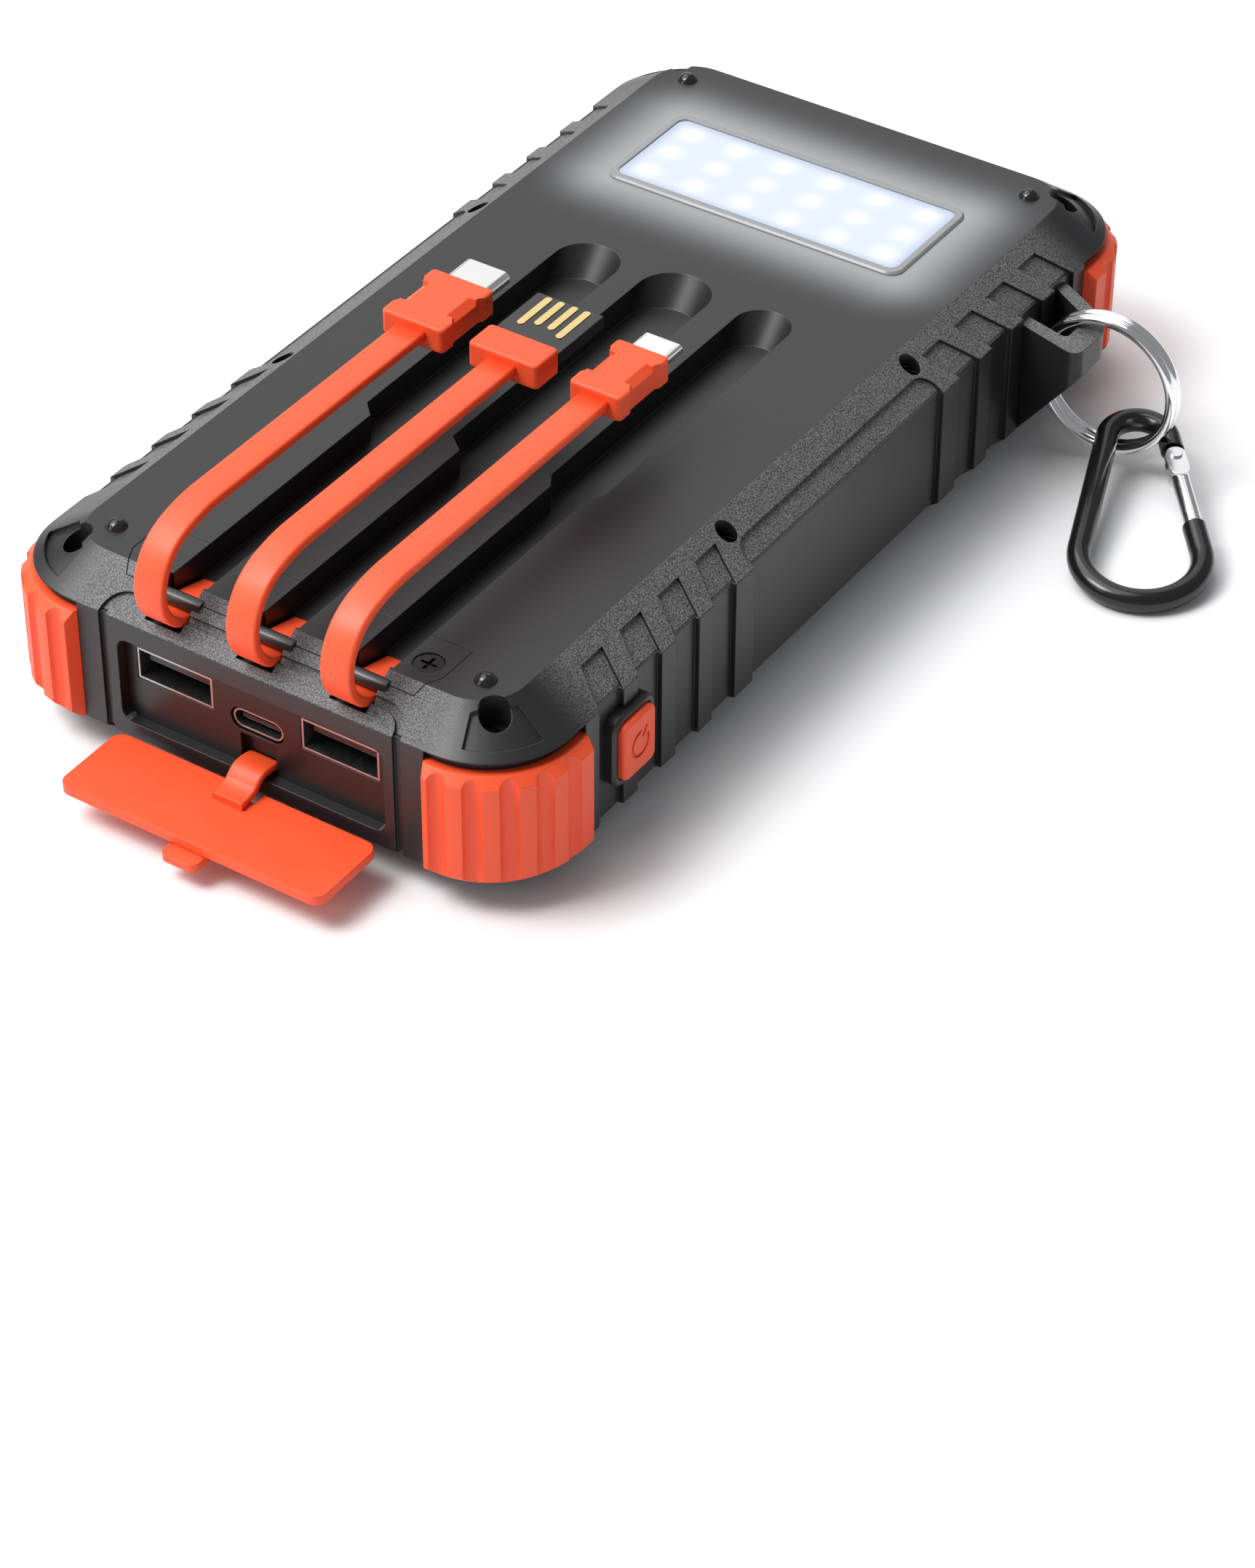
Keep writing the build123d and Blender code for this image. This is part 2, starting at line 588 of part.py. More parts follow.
with BuildPart() as torch_reflectors:
    for side in (-1, 1):
        with BuildSketch(Plane(origin=(side * TORCH_X, 0, TORCH_Z), x_dir=(1, 0, 0), z_dir=(0, 0, 1))):
            with BuildLine():
                Line((7.2, 88.4), (7.7, 88.4))
                ThreePointArc((7.7, 88.4), (6.1, 81.4), (2.4, 76.6))
                Line((2.4, 76.6), (1.9, 77.0))
                ThreePointArc((1.9, 77.0), (5.6, 81.7), (7.2, 88.4))
            make_face()
        revolve(axis=Axis((side * TORCH_X, 0, TORCH_Z), (0, 1, 0)))
save(torch_reflectors, "torch_reflectors")

with BuildPart() as torch_board:
    with BuildSketch(Plane.XZ.offset(-74.6)):
        with Locations((0, TORCH_Z)):
            Rectangle(44.0, 15.0)
    extrude(amount=-1.2)
save(torch_board, "torch_board")

with BuildPart() as torch_leds:
    with BuildSketch(Plane.XZ.offset(-75.8)):
        with Locations(*TORCH_CENTRES):
            Rectangle(3.0, 3.0)
    extrude(amount=-1.0)
save(torch_leds, "torch_leds")

# ---- ports -------------------------------------------------------------------------------------
with BuildPart() as port_panel:
    with BuildSketch(Plane.XZ.offset(-PANEL_FLANGE_Y)):
        with Locations((0, sum(BAY_Z) / 2)):
            RectangleRounded(2 * BAY_X + 3.2, BAY_Z[1] - BAY_Z[0] + 2.0, 2.0)
    extrude(amount=PANEL_BACK_Y - PANEL_FLANGE_Y, dir=(0, 1, 0))
    with BuildSketch(Plane.XZ.offset(-PANEL_FLANGE_Y)):
        with Locations((0, sum(BAY_Z) / 2)):
            RectangleRounded(2 * BAY_X - 0.1, BAY_Z[1] - BAY_Z[0] - 0.1, 2.0)
    extrude(amount=PANEL_FLANGE_Y - BAY_FLOOR_Y)
    with BuildSketch(Plane.XZ.offset(-BAY_FLOOR_Y)):
        with Locations(*USB_A_CENTRES):
            Rectangle(*USB_A_SIZE)
        with Locations((0, USB_C_Z)):
            SlotOverall(*USB_C_SIZE)
    extrude(amount=-4, mode=Mode.SUBTRACT)
    with BuildSketch(Plane.XZ.offset(-BAY_FLOOR_Y)):
        with Locations((0, 10.2)):
            Rectangle(6.4, 6.2)
    extrude(amount=-1.4, mode=Mode.SUBTRACT)
save(port_panel, "port_panel")

for side, word in ((-1, "left"), (1, "right")):
    with BuildPart() as socket_shell:
        with BuildSketch(Plane.XZ.offset(-USB_A_MOUTH_Y)):
            with Locations((side * USB_A_X, USB_A_Z)):
                Rectangle(USB_A_SIZE[0] - 0.2, USB_A_SIZE[1] - 0.2)
        extrude(amount=-14.0)
        with BuildSketch(Plane.XZ.offset(-USB_A_MOUTH_Y)):
            with Locations((side * USB_A_X, USB_A_Z)):
                Rectangle(USB_A_SIZE[0] - 0.9, USB_A_SIZE[1] - 0.9)
        extrude(amount=-13.6, mode=Mode.SUBTRACT)
    save(socket_shell, f"usb_a_shell_{word}")

with BuildPart() as usb_a_tongues:
    with BuildSketch(Plane.XZ.offset(86.0)):
        with Locations((-USB_A_X, USB_A_Z + 1.15), (USB_A_X, USB_A_Z + 1.15)):
            Rectangle(11.1, 1.9)
    extrude(amount=-12.4)
save(usb_a_tongues, "usb_a_tongues")

with BuildPart() as usb_c_shell:
    with BuildSketch(Plane.XZ.offset(-USB_C_MOUTH_Y)):
        with Locations((0, USB_C_Z)):
            SlotOverall(9.0, 3.3)
    extrude(amount=-9.0)
    with BuildSketch(Plane.XZ.offset(-USB_C_MOUTH_Y)):
        with Locations((0, USB_C_Z)):
            SlotOverall(8.4, 2.7)
    extrude(amount=-8.6, mode=Mode.SUBTRACT)
save(usb_c_shell, "usb_c_shell")

with BuildPart() as usb_c_tongue:
    with BuildSketch(Plane.XZ.offset(86.3)):
        with Locations((0, USB_C_Z)):
            Rectangle(6.7, 0.7)
    extrude(amount=-7.9)
save(usb_c_tongue, "usb_c_tongue")

with BuildPart() as port_flap:
    with BuildSketch(Plane.XY.offset(FLAP_TOP)):
        with Locations((0, FLAP_ROOT_Y - FLAP_LENGTH / 2)):
            RectangleRounded(2 * FLAP_HALF, FLAP_LENGTH, 2.0)
        with Locations((0, FLAP_ROOT_Y)):
            Rectangle(6.2, 4.4, mode=Mode.SUBTRACT)
    extrude(amount=-FLAP_THICK)
    chamfer(port_flap.faces().sort_by(Axis.Z)[0].edges(), 0.4)
    # finger tab under the free edge
    with BuildSketch(Plane.XY.offset(FLAP_TOP - FLAP_THICK)):
        with Locations((0, FLAP_ROOT_Y - FLAP_LENGTH - 0.2)):
            RectangleRounded(6.3, 4.4, 1.2)
    extrude(amount=-1.3)
    with BuildSketch(Plane.XY.offset(FLAP_TOP - FLAP_THICK - 0.1)):
        with Locations((0, FLAP_ROOT_Y - FLAP_LENGTH + 1)):
            Rectangle(5.0, 1.6)
    extrude(amount=0.3)
save(port_flap, "port_flap")

with BuildPart() as port_flap_strap:
    with BuildLine(Plane.YZ) as strap_path:
        FilletPolyline(
            (-95.2, FLAP_TOP + 0.6), (-92.3, FLAP_TOP + 0.6), (-90.2, 9.3), (-87.9, 9.3), (-86.15, 8.9),
            radius=0.9,
        )
    strap_wire = strap_path.wires()[0]
    with BuildSketch(Plane(origin=strap_wire @ 0, x_dir=(1, 0, 0), z_dir=strap_wire % 0)):
        Rectangle(5.5, 1.2)
    sweep(path=strap_wire)
save(port_flap_strap, "port_flap_strap")

# ---- electronics -------------------------------------------------------------------------------
with BuildPart() as main_board:
    with BuildSketch(Plane.XY.offset(BOARD_TOP)):
        with Locations((0, BOARD_Y)):
            RectangleRounded(*BOARD_SIZE, 3.0)
        with Locations(*CORNER_SCREWS):
            Circle(BOSS_RADIUS + 0.5, mode=Mode.SUBTRACT)
        with Locations(*[(a * 41.0, -84.6) for a in (-1, 1)]):
            Rectangle(9.0, 9.0, mode=Mode.SUBTRACT)
        with Locations((0, -82.0)):
            Rectangle(9.6, 9.0, mode=Mode.SUBTRACT)
    extrude(amount=-BOARD_THICK)
save(main_board, "main_board")

with BuildPart() as controller_chips:
    with BuildSketch(Plane.XY.offset(BOARD_TOP)):
        with Locations((-26, -64), (8, -64)):
            Rectangle(7, 7)
        with Locations((-14, -64.5), (0, -68), (26, -64)):
            Rectangle(4, 5)
    extrude(amount=1.1)
save(controller_chips, "controller_chips")

with BuildPart() as power_inductor:
    with BuildSketch(Plane.XY.offset(BOARD_TOP)):
        with Locations((17.5, -65)):
            RectangleRounded(7, 7, 1)
    extrude(amount=4)
save(power_inductor, "power_inductor")

for name, bottom in zip(("battery_cell_solar_side", "battery_cell_back_side"), BATTERY_BOTTOM):
    with BuildPart() as battery:
        with BuildSketch(Plane.XY.offset(bottom)):
            with Locations((0, BATTERY_Y)):
                RectangleRounded(*BATTERY_SIZE, 2.5)
        extrude(amount=BATTERY_THICK)
        fillet(battery.edges().filter_by(GeomType.LINE, reverse=True).group_by(Axis.Z)[-1], 1.0)
    save(battery, name)

with BuildPart() as battery_foam:
    with BuildSketch(Plane.XY.offset(BATTERY_BOTTOM[0] + BATTERY_THICK)):
        with Locations((0, BATTERY_Y)):
            Rectangle(BATTERY_SIZE[0] - 10, BATTERY_SIZE[1] - 20)
    extrude(amount=BATTERY_BOTTOM[1] - BATTERY_BOTTOM[0] - BATTERY_THICK)
save(battery_foam, "battery_foam")

# ---- button ------------------------------------------------------------------------------------
with BuildPart() as power_button:
    with BuildSketch(Plane.YZ.offset(BUTTON_BACK_X)):
        with Locations((BUTTON_Y, BUTTON_Z)):
            RectangleRounded(*BUTTON_SIZE, 1.4)
    extrude(amount=BUTTON_FACE_X - BUTTON_BACK_X)
    fillet(power_button.faces().sort_by(Axis.X)[-1].edges(), 0.6)
    with BuildSketch(Plane.YZ.offset(BUTTON_BACK_X)):
        with Locations((BUTTON_Y, BUTTON_Z)):
            RectangleRounded(BUTTON_SIZE[0] + 1.4, BUTTON_SIZE[1] + 1.4, 2.0)
    extrude(amount=0.7)
    # power symbol, engraved
    with BuildSketch(Plane.YZ.offset(BUTTON_FACE_X)):
        with Locations(Location((BUTTON_Y, BUTTON_Z, 0), -35)):
            Circle(2.3)
            Circle(1.8, mode=Mode.SUBTRACT)
            with Locations((0, 2.0)):
                Rectangle(2.0, 1.6, mode=Mode.SUBTRACT)
                Rectangle(0.5, 1.9)
    extrude(amount=-0.35, mode=Mode.SUBTRACT)
save(power_button, "power_button")

with BuildPart() as button_frame:
    with BuildSketch(Plane.YZ.offset(WALL_X - FLUTE_DEPTH)):
        with Locations((BUTTON_Y, BUTTON_Z)):
            RectangleRounded(BUTTON_SIZE[0] + 2.5, BUTTON_SIZE[1] + 2.5, 2.5)
            RectangleRounded(BUTTON_SIZE[0] + 0.4, BUTTON_SIZE[1] + 0.4, 1.6, mode=Mode.SUBTRACT)
    extrude(amount=FLUTE_DEPTH + 1.1)
    chamfer(button_frame.faces().sort_by(Axis.X)[-1].outer_wire().edges(), 0.4)
save(button_frame, "button_frame")

with BuildPart() as button_switch:
    with BuildSketch(Plane.XY.offset(BOARD_TOP)):
        with Locations((39.6, BUTTON_Y)):
            Rectangle(3.6, 6.0)
    extrude(amount=3.4)
    with BuildSketch(Plane.YZ.offset(41.4)):
        with Locations((BUTTON_Y, BUTTON_Z)):
            Rectangle(3.0, 1.6)
    extrude(amount=1.0)
save(button_switch, "button_switch")

# ---- corner bumpers ----------------------------------------------------------------------------
for (across, along), word in zip(CORNERS, CORNER_NAMES):
    arc_x = across * (WALL_X - WALL_RADIUS)
    arc_y = along * (WALL_Y - WALL_RADIUS)
    with BuildPart() as bumper:
        with BuildSketch(Plane.XY.offset(BUMPER_Z[0])):
            wall_outline(-BUMPER_OUT + BUMPER_BEVEL)
        with BuildSketch(Plane.XY.offset(BUMPER_Z[0] + BUMPER_BEVEL)):
            wall_outline(-BUMPER_OUT)
        loft(ruled=True)
        with BuildSketch(Plane.XY.offset(BUMPER_Z[0] + BUMPER_BEVEL)):
            wall_outline(-BUMPER_OUT)
        extrude(amount=BUMPER_Z[1] - BUMPER_Z[0] - 2 * BUMPER_BEVEL)
        with BuildSketch(Plane.XY.offset(BUMPER_Z[1] - BUMPER_BEVEL)):
            wall_outline(-BUMPER_OUT)
        with BuildSketch(Plane.XY.offset(BUMPER_Z[1])):
            wall_outline(-BUMPER_OUT + BUMPER_BEVEL)
        loft(ruled=True)
        with BuildSketch(Plane.XY):
            with BuildLine():
                Polyline(
                    (across * (BUMPER_X + 0.05), along * (WALL_Y - 10)),
                    (across * (BUMPER_X + 0.05), along * WALL_Y),
                    (across * (BUMPER_X + 1.4), along * (WALL_Y + 3)),
                    (across * (WALL_X + 3), along * (WALL_Y + 3)),
                    (across * (WALL_X + 3), along * (BUMPER_Y + 1.4)),
                    (across * WALL_X, along * (BUMPER_Y + 0.05)),
                    (across * (WALL_X - 10), along * (BUMPER_Y + 0.05)),
                    close=True,
                )
            make_face()
            wall_outline(BUMPER_IN, mode=Mode.SUBTRACT)
        extrude(amount=HEIGHT, mode=Mode.INTERSECT)
        # five upright finger grooves round the corner
        with BuildSketch(Plane.XY.offset(BUMPER_Z[0] - 1)):
            for step in range(-2, 3):
                heading = math.atan2(along, across) + math.radians(19.3 * step)
                reach = WALL_RADIUS + BUMPER_OUT + 0.4
                with Locations((arc_x + reach * math.cos(heading), arc_y + reach * math.sin(heading))):
                    Circle(1.5)
        extrude(amount=HEIGHT, mode=Mode.SUBTRACT)
    save(bumper, f"bumper_{word}")

# ---- lanyard loop, key ring and carabiner ------------------------------------------------------
with BuildPart() as lanyard_loop:
    with BuildSketch(Plane.XY.offset(WALL_BOTTOM)):
        with BuildLine():
            FilletPolyline(
                (45.6, 52.4), (57.6, 49.0), (57.9, 58.0), (52.8, 62.8), (45.6, 66.9), radius=LOOP_ROUNDS
            )
            Line((45.6, 66.9), (45.6, 52.4))
        make_face()
        with BuildLine():
            FilletPolyline((45.0, 55.1), (53.7, 52.8), (53.7, 59.4), (45.0, 64.6), radius=LOOP_HOLE_ROUNDS)
            Line((45.0, 64.6), (45.0, 55.1))
        make_face(mode=Mode.SUBTRACT)
    extrude(amount=LOOP_TOP - WALL_BOTTOM)
    with BuildSketch(Plane.XZ.offset(-70)):
        with BuildLine():
            Polyline(
                (45.0, WALL_BOTTOM), (WALL_X, WALL_BOTTOM), (58.4, 21.0), (58.4, 0), (45.0, 0), close=True
            )
        make_face()
    extrude(amount=30, mode=Mode.SUBTRACT)
save(lanyard_loop, "lanyard_loop")

with BuildPart() as key_ring:
    with BuildSketch(Plane.XY.offset(RING_CENTRE[2])):
        with Locations((RING_CENTRE[0] + RING_RADIUS, RING_CENTRE[1] - RING_WIRE + 0.06)):
            Circle(RING_WIRE)
        with Locations((RING_CENTRE[0] + RING_RADIUS, RING_CENTRE[1] + RING_WIRE - 0.06)):
            Circle(RING_WIRE)
    revolve(axis=Axis(RING_CENTRE, (0, 1, 0)))
save(key_ring, "key_ring")

heading_angle = math.radians(HOOK_HEADING)
tilt_angle = math.radians(HOOK_TILT)
hook_along = (
    math.cos(heading_angle) * math.cos(tilt_angle),
    math.sin(heading_angle) * math.cos(tilt_angle),
    -math.sin(tilt_angle),
)
hook_normal = (
    math.cos(heading_angle) * math.sin(tilt_angle),
    math.sin(heading_angle) * math.sin(tilt_angle),
    math.cos(tilt_angle),
)
hook_plane = Plane(origin=HOOK_EYE, x_dir=hook_along, z_dir=hook_normal)
taper = math.asin((HOOK_WIDE - HOOK_NARROW) / HOOK_SPAN)
side_start = (-HOOK_NARROW * math.sin(taper), HOOK_NARROW * math.cos(taper))
side_end = (HOOK_SPAN - HOOK_WIDE * math.sin(taper), HOOK_WIDE * math.cos(taper))


def along_side(distance):
    """Point on the gate side of the carabiner's middle line."""
    return (side_start[0] + distance * math.cos(taper), side_start[1] + distance * math.sin(taper))


with BuildPart() as carabiner_hook:
    with BuildLine(hook_plane) as hook_path:
        Line(along_side(NOSE_AT), side_end)
        ThreePointArc(side_end, (HOOK_SPAN + HOOK_WIDE, 0), (side_end[0], -side_end[1]))
        Line((side_end[0], -side_end[1]), (side_start[0], -side_start[1]))
        ThreePointArc((side_start[0], -side_start[1]), (-HOOK_NARROW, 0), side_start)
        Line(side_start, along_side(PIVOT_AT - 2.2))
    hook_wire = hook_path.wires()[0]
    with BuildSketch(Plane(origin=hook_wire @ 0, z_dir=hook_wire % 0)):
        Circle(HOOK_WIRE)
    sweep(path=hook_wire)
    # flat tab that the gate's fork sits on
    with BuildSketch(hook_plane.offset(-0.65)):
        with Locations(Location((*along_side(PIVOT_AT / 2), 0), math.degrees(taper))):
            SlotOverall(PIVOT_AT + 3.2, 3.0)
    extrude(amount=1.3)
    with BuildSketch(hook_plane.offset(-3)):
        with Locations(along_side(PIVOT_AT)):
            Circle(0.66)
    extrude(amount=6, mode=Mode.SUBTRACT)
save(carabiner_hook, "carabiner_hook")

gate_plane = Plane(
    origin=hook_plane.from_local_coords(Vector(*along_side(PIVOT_AT), 0)),
    x_dir=hook_plane.from_local_coords(Vector(*along_side(PIVOT_AT + 1), 0))
    - hook_plane.from_local_coords(Vector(*along_side(PIVOT_AT), 0)),
    z_dir=hook_normal,
)
GATE_END = NOSE_AT - PIVOT_AT - 0.4
with BuildPart() as carabiner_gate:
    with BuildSketch(gate_plane.offset(-1.6)):
        with Locations((1.6, 0)):
            SlotOverall(6.4, 3.2)
    extrude(amount=3.2)
    with BuildSketch(gate_plane.offset(-0.8)):
        with Locations((0.2, 0)):
            Rectangle(4.2, 4.0)
    extrude(amount=1.6, mode=Mode.SUBTRACT)
    with BuildSketch(Plane(origin=gate_plane.from_local_coords(Vector(3.4, 0, 0)), z_dir=gate_plane.x_dir)):
        Circle(1.5)
    extrude(amount=GATE_END - 3.4)
    with BuildSketch(gate_plane.offset(-3)):
        Circle(0.6)
    extrude(amount=6, mode=Mode.SUBTRACT)
save(carabiner_gate, "carabiner_gate")

with BuildPart() as gate_rivet:
    with BuildSketch(gate_plane.offset(-1.6)):
        Circle(0.6)
    extrude(amount=3.2)
    for height in (-1.95, 1.6):
        with BuildSketch(gate_plane.offset(height)):
            Circle(1.0)
        extrude(amount=0.35)
save(gate_rivet, "gate_rivet")

# ---- cable cover, bars and anchors -------------------------------------------------------------
with BuildPart() as cable_cover:
    with BuildSketch(Plane.XY.offset(HEIGHT - COVER_THICK)):
        cover_outline()
    extrude(amount=COVER_THICK + 1)
    add(closed_case(), mode=Mode.INTERSECT)
    with BuildSketch(Plane.XY.offset(SLOT_FLOOR - 1.2)):
        with Locations(*[(x, sum(TROUGH_Y) / 2) for x in CHANNEL_X]):
            Rectangle(2 * (CHANNEL_HALF + TROUGH_SKIN) - 0.2, TROUGH_Y[1] - TROUGH_Y[0] - 0.2)
    extrude(amount=HEIGHT - COVER_THICK - SLOT_FLOOR + 1.3)
    with BuildSketch(Plane.XY.offset(SLOT_FLOOR)):
        with Locations(*[(x, -76.8) for x in CHANNEL_X]):
            Rectangle(2 * CHANNEL_HALF, 9.4)
    extrude(amount=HEIGHT, mode=Mode.SUBTRACT)
    slot_cuts()
    bar_seats()
    with BuildSketch(Plane.XY.offset(HEIGHT - 1.0)):
        with Locations(*COVER_SCREWS):
            Circle(2.35)
    extrude(amount=2, mode=Mode.SUBTRACT)
    with BuildSketch(Plane.XY.offset(HEIGHT - 4)):
        with Locations(*COVER_SCREWS):
            Circle(1.05)
    extrude(amount=4, mode=Mode.SUBTRACT)
save(cable_cover, "cable_cover")

with BuildPart() as cable_cover_screws:
    with BuildSketch(Plane.XY.offset(HEIGHT - 1.0)):
        with Locations(*COVER_SCREWS):
            Circle(2.25)
    extrude(amount=0.85)
    with BuildSketch(Plane.XY.offset(HEIGHT - 1.0)):
        with Locations(*COVER_SCREWS):
            Circle(0.9)
    extrude(amount=-3.5)
    with BuildSketch(Plane.XY.offset(HEIGHT - 0.15)):
        with Locations(*COVER_SCREWS):
            Rectangle(2.8, 0.5)
            Rectangle(0.5, 2.8)
    extrude(amount=-0.5, mode=Mode.SUBTRACT)
save(cable_cover_screws, "cable_cover_screws")

with BuildPart() as lead_bars:
    for centre_x in CHANNEL_X:
        with Locations(Location((centre_x + SLOT_SHIFT, BAR_Y, BAR_Z), (0, 90, 0))):
            Cylinder(BAR_RADIUS, 2 * CHANNEL_HALF + 2.4)
save(lead_bars, "lead_bars")

with BuildPart() as lead_anchors:
    for centre_x in CHANNEL_X:
        with BuildSketch(Plane.YZ.offset(centre_x - 2.6)):
            with BuildLine():
                Polyline(
                    (ANCHOR_Y[0], SLOT_FLOOR), (ANCHOR_Y[0], ANCHOR_TOP), (ANCHOR_Y[0] + 1.5, ANCHOR_TOP),
                    (ANCHOR_Y[1], CHANNEL_FLOOR), (ANCHOR_Y[1], SLOT_FLOOR), close=True,
                )
            make_face()
        extrude(amount=LEAD_WIDTH)
save(lead_anchors, "lead_anchors")

# ---- leads and their connectors ----------------------------------------------------------------
LEAD_ROUTE = [
    (ANCHOR_Y[0], 27.45),
    (-86.2, 27.45),
    (-90.2, 31.6),
    (-90.2, 37.4),
    (-86.6, 42.2),
    (-79.6, LEAD_Z),
    (BODY_START_Y, LEAD_Z),
]


def bend_radii(route):
    """Radius of each bend: as large as its two runs allow."""
    radii = []
    for before, here, after in zip(route, route[1:], route[2:]):
        incoming = Vector(here[0] - before[0], here[1] - before[1])
        outgoing = Vector(after[0] - here[0], after[1] - here[1])
        turn = math.radians(incoming.get_angle(outgoing))
        radii.append(0.45 * min(incoming.length, outgoing.length) / math.tan(turn / 2))
    return radii


LEAD_RADII = bend_radii(LEAD_ROUTE)
print("lead bend radii", [round(r, 2) for r in LEAD_RADII])
for centre_x, word in zip(CHANNEL_X, ("usb_c", "usb_a", "slim")):
    with BuildPart() as lead:
        with BuildLine(Plane.YZ.offset(centre_x)) as lead_path:
            FilletPolyline(*LEAD_ROUTE, radius=LEAD_RADII)
        lead_wire = lead_path.wires()[0]
        with BuildSketch(Plane(origin=lead_wire @ 0, x_dir=(1, 0, 0), z_dir=lead_wire % 0)):
            RectangleRounded(LEAD_WIDTH, LEAD_THICK, 0.45)
        sweep(path=lead_wire)
    section = LEAD_WIDTH * LEAD_THICK - (4 - math.pi) * 0.45**2
    lead_length = lead_wire.length
    print(word, "lead length", round(lead_length, 2), "volume", round(lead.part.volume, 2),
          "section x length", round(section * lead_length, 2))
    save(lead, f"{word}_lead")


def waist_profiles(centre_x, width):
    """Plan of the waists that narrow both sides of a grip."""
    for side in (-1, 1):
        outer = centre_x + side * (width / 2 + 1)
        edge = centre_x + side * width / 2
        inner = edge - side * WAIST_DEPTH
        with BuildLine() as waist:
            Polyline(
                (outer, WAIST_Y[0] - WAIST_RAMP), (edge, WAIST_Y[0] - WAIST_RAMP), (inner, WAIST_Y[0]),
                (inner, WAIST_Y[1]), (edge, WAIST_Y[1] + WAIST_RAMP), (outer, WAIST_Y[1] + WAIST_RAMP),
                close=True,
            )
        make_face(waist.edges())


def waist_bevels(centre_x, width):
    """Section of the bevels along the top of both waists."""
    for side in (-1, 1):
        outer = centre_x + side * (width / 2 + 1)
        inner = centre_x + side * (width / 2 - WAIST_DEPTH)
        with BuildLine() as bevel:
            Polyline(
                (outer, PLUG_TOP + 1), (inner - side * WAIST_BEVEL[0], PLUG_TOP + 1),
                (inner - side * WAIST_BEVEL[0], PLUG_TOP), (inner, PLUG_TOP - WAIST_BEVEL[1]),
                (outer, PLUG_TOP - WAIST_BEVEL[1]), close=True,
            )
        make_face(bevel.edges())


PLUG_GRIPS = [
    (CHANNEL_X[0], 11.3, USB_C_GRIP_END, "usb_c"),
    (CHANNEL_X[1], 12.5, USB_A_GRIP_END, "usb_a"),
    (CHANNEL_X[2], 9.2, SLIM_GRIP_END, "slim"),
]
for centre_x, width, end_y, word in PLUG_GRIPS:
    with BuildPart() as plug_grip:
        with BuildSketch(Plane.XY.offset(PLUG_TOP)):
            with Locations((centre_x, (end_y + BODY_START_Y) / 2)):
                RectangleRounded(width, end_y - BODY_START_Y, 0.8)
        extrude(amount=-PLUG_THICK)
        fillet(plug_grip.faces().sort_by(Axis.Z)[-1].edges(), GRIP_ROUND)
        fillet(plug_grip.faces().sort_by(Axis.Z)[0].edges(), GRIP_ROUND)
        if end_y > WAIST_Y[1]:
            with BuildSketch(Plane.XY.offset(PLUG_TOP + 1)):
                waist_profiles(centre_x, width)
            extrude(amount=-PLUG_THICK - 2, mode=Mode.SUBTRACT)
            with BuildSketch(Plane.XZ.offset(-WAIST_Y[0] - 0.4)):
                waist_bevels(centre_x, width)
            extrude(amount=WAIST_Y[0] + 0.8 - WAIST_Y[1], mode=Mode.SUBTRACT)
    save(plug_grip, f"{word}_plug_grip")

with BuildPart() as usb_c_plug:
    with BuildSketch(Plane.XZ.offset(-USB_C_GRIP_END)):
        with Locations((CHANNEL_X[0], PLUG_MIDDLE)):
            SlotOverall(8.25, 2.4)
    extrude(amount=-6.3)
    with BuildSketch(Plane.XZ.offset(-USB_C_GRIP_END - 6.3)):
        with Locations((CHANNEL_X[0], PLUG_MIDDLE)):
            SlotOverall(7.65, 1.8)
    extrude(amount=5.9, mode=Mode.SUBTRACT)
save(usb_c_plug, "usb_c_plug")

with BuildPart() as usb_a_plug:
    with BuildSketch(Plane.XZ.offset(-USB_A_GRIP_END)):
        with Locations((CHANNEL_X[1], PLUG_MIDDLE)):
            Rectangle(11.9, 2.1)
    extrude(amount=-12.5)
    chamfer(usb_a_plug.faces().sort_by(Axis.Y)[-1].edges(), 0.35)
save(usb_a_plug, "usb_a_plug")

with BuildPart() as usb_a_contacts:
    with BuildSketch(Plane.XY.offset(PLUG_MIDDLE + 1.05)):
        for offset_x, length in ((-3.5, 8.4), (-1.2, 7.2), (1.2, 7.2), (3.5, 8.4)):
            with Locations((CHANNEL_X[1] + offset_x, -8.3 - length / 2)):
                RectangleRounded(1.2, length, 0.55)
    extrude(amount=0.12)
save(usb_a_contacts, "usb_a_contacts")

with BuildPart() as slim_plug:
    with BuildSketch(Plane.XZ.offset(-SLIM_GRIP_END)):
        with Locations((CHANNEL_X[2], PLUG_MIDDLE)):
            RectangleRounded(6.7, 1.7, 0.6)
    extrude(amount=-5.2)
    with BuildSketch(Plane.XY.offset(PLUG_MIDDLE + 0.6)):
        with Locations((CHANNEL_X[2], SLIM_INSERT_Y)):
            RectangleRounded(*SLIM_INSERT)
    extrude(amount=1.0, mode=Mode.SUBTRACT)
save(slim_plug, "slim_plug")

with BuildPart() as slim_plug_insert:
    with BuildSketch(Plane.XY.offset(PLUG_MIDDLE + 0.6)):
        with Locations((CHANNEL_X[2], SLIM_INSERT_Y)):
            RectangleRounded(*SLIM_INSERT)
    extrude(amount=0.25)
save(slim_plug_insert, "slim_plug_insert")
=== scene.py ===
"""Solar phone charger: finishes, leads, strap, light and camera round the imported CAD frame.

Metres, in the frame's axes: +Z towards the back face, +Y towards the torches, +X towards the button.
"""
import math

import bpy
from mathutils import Matrix, Vector


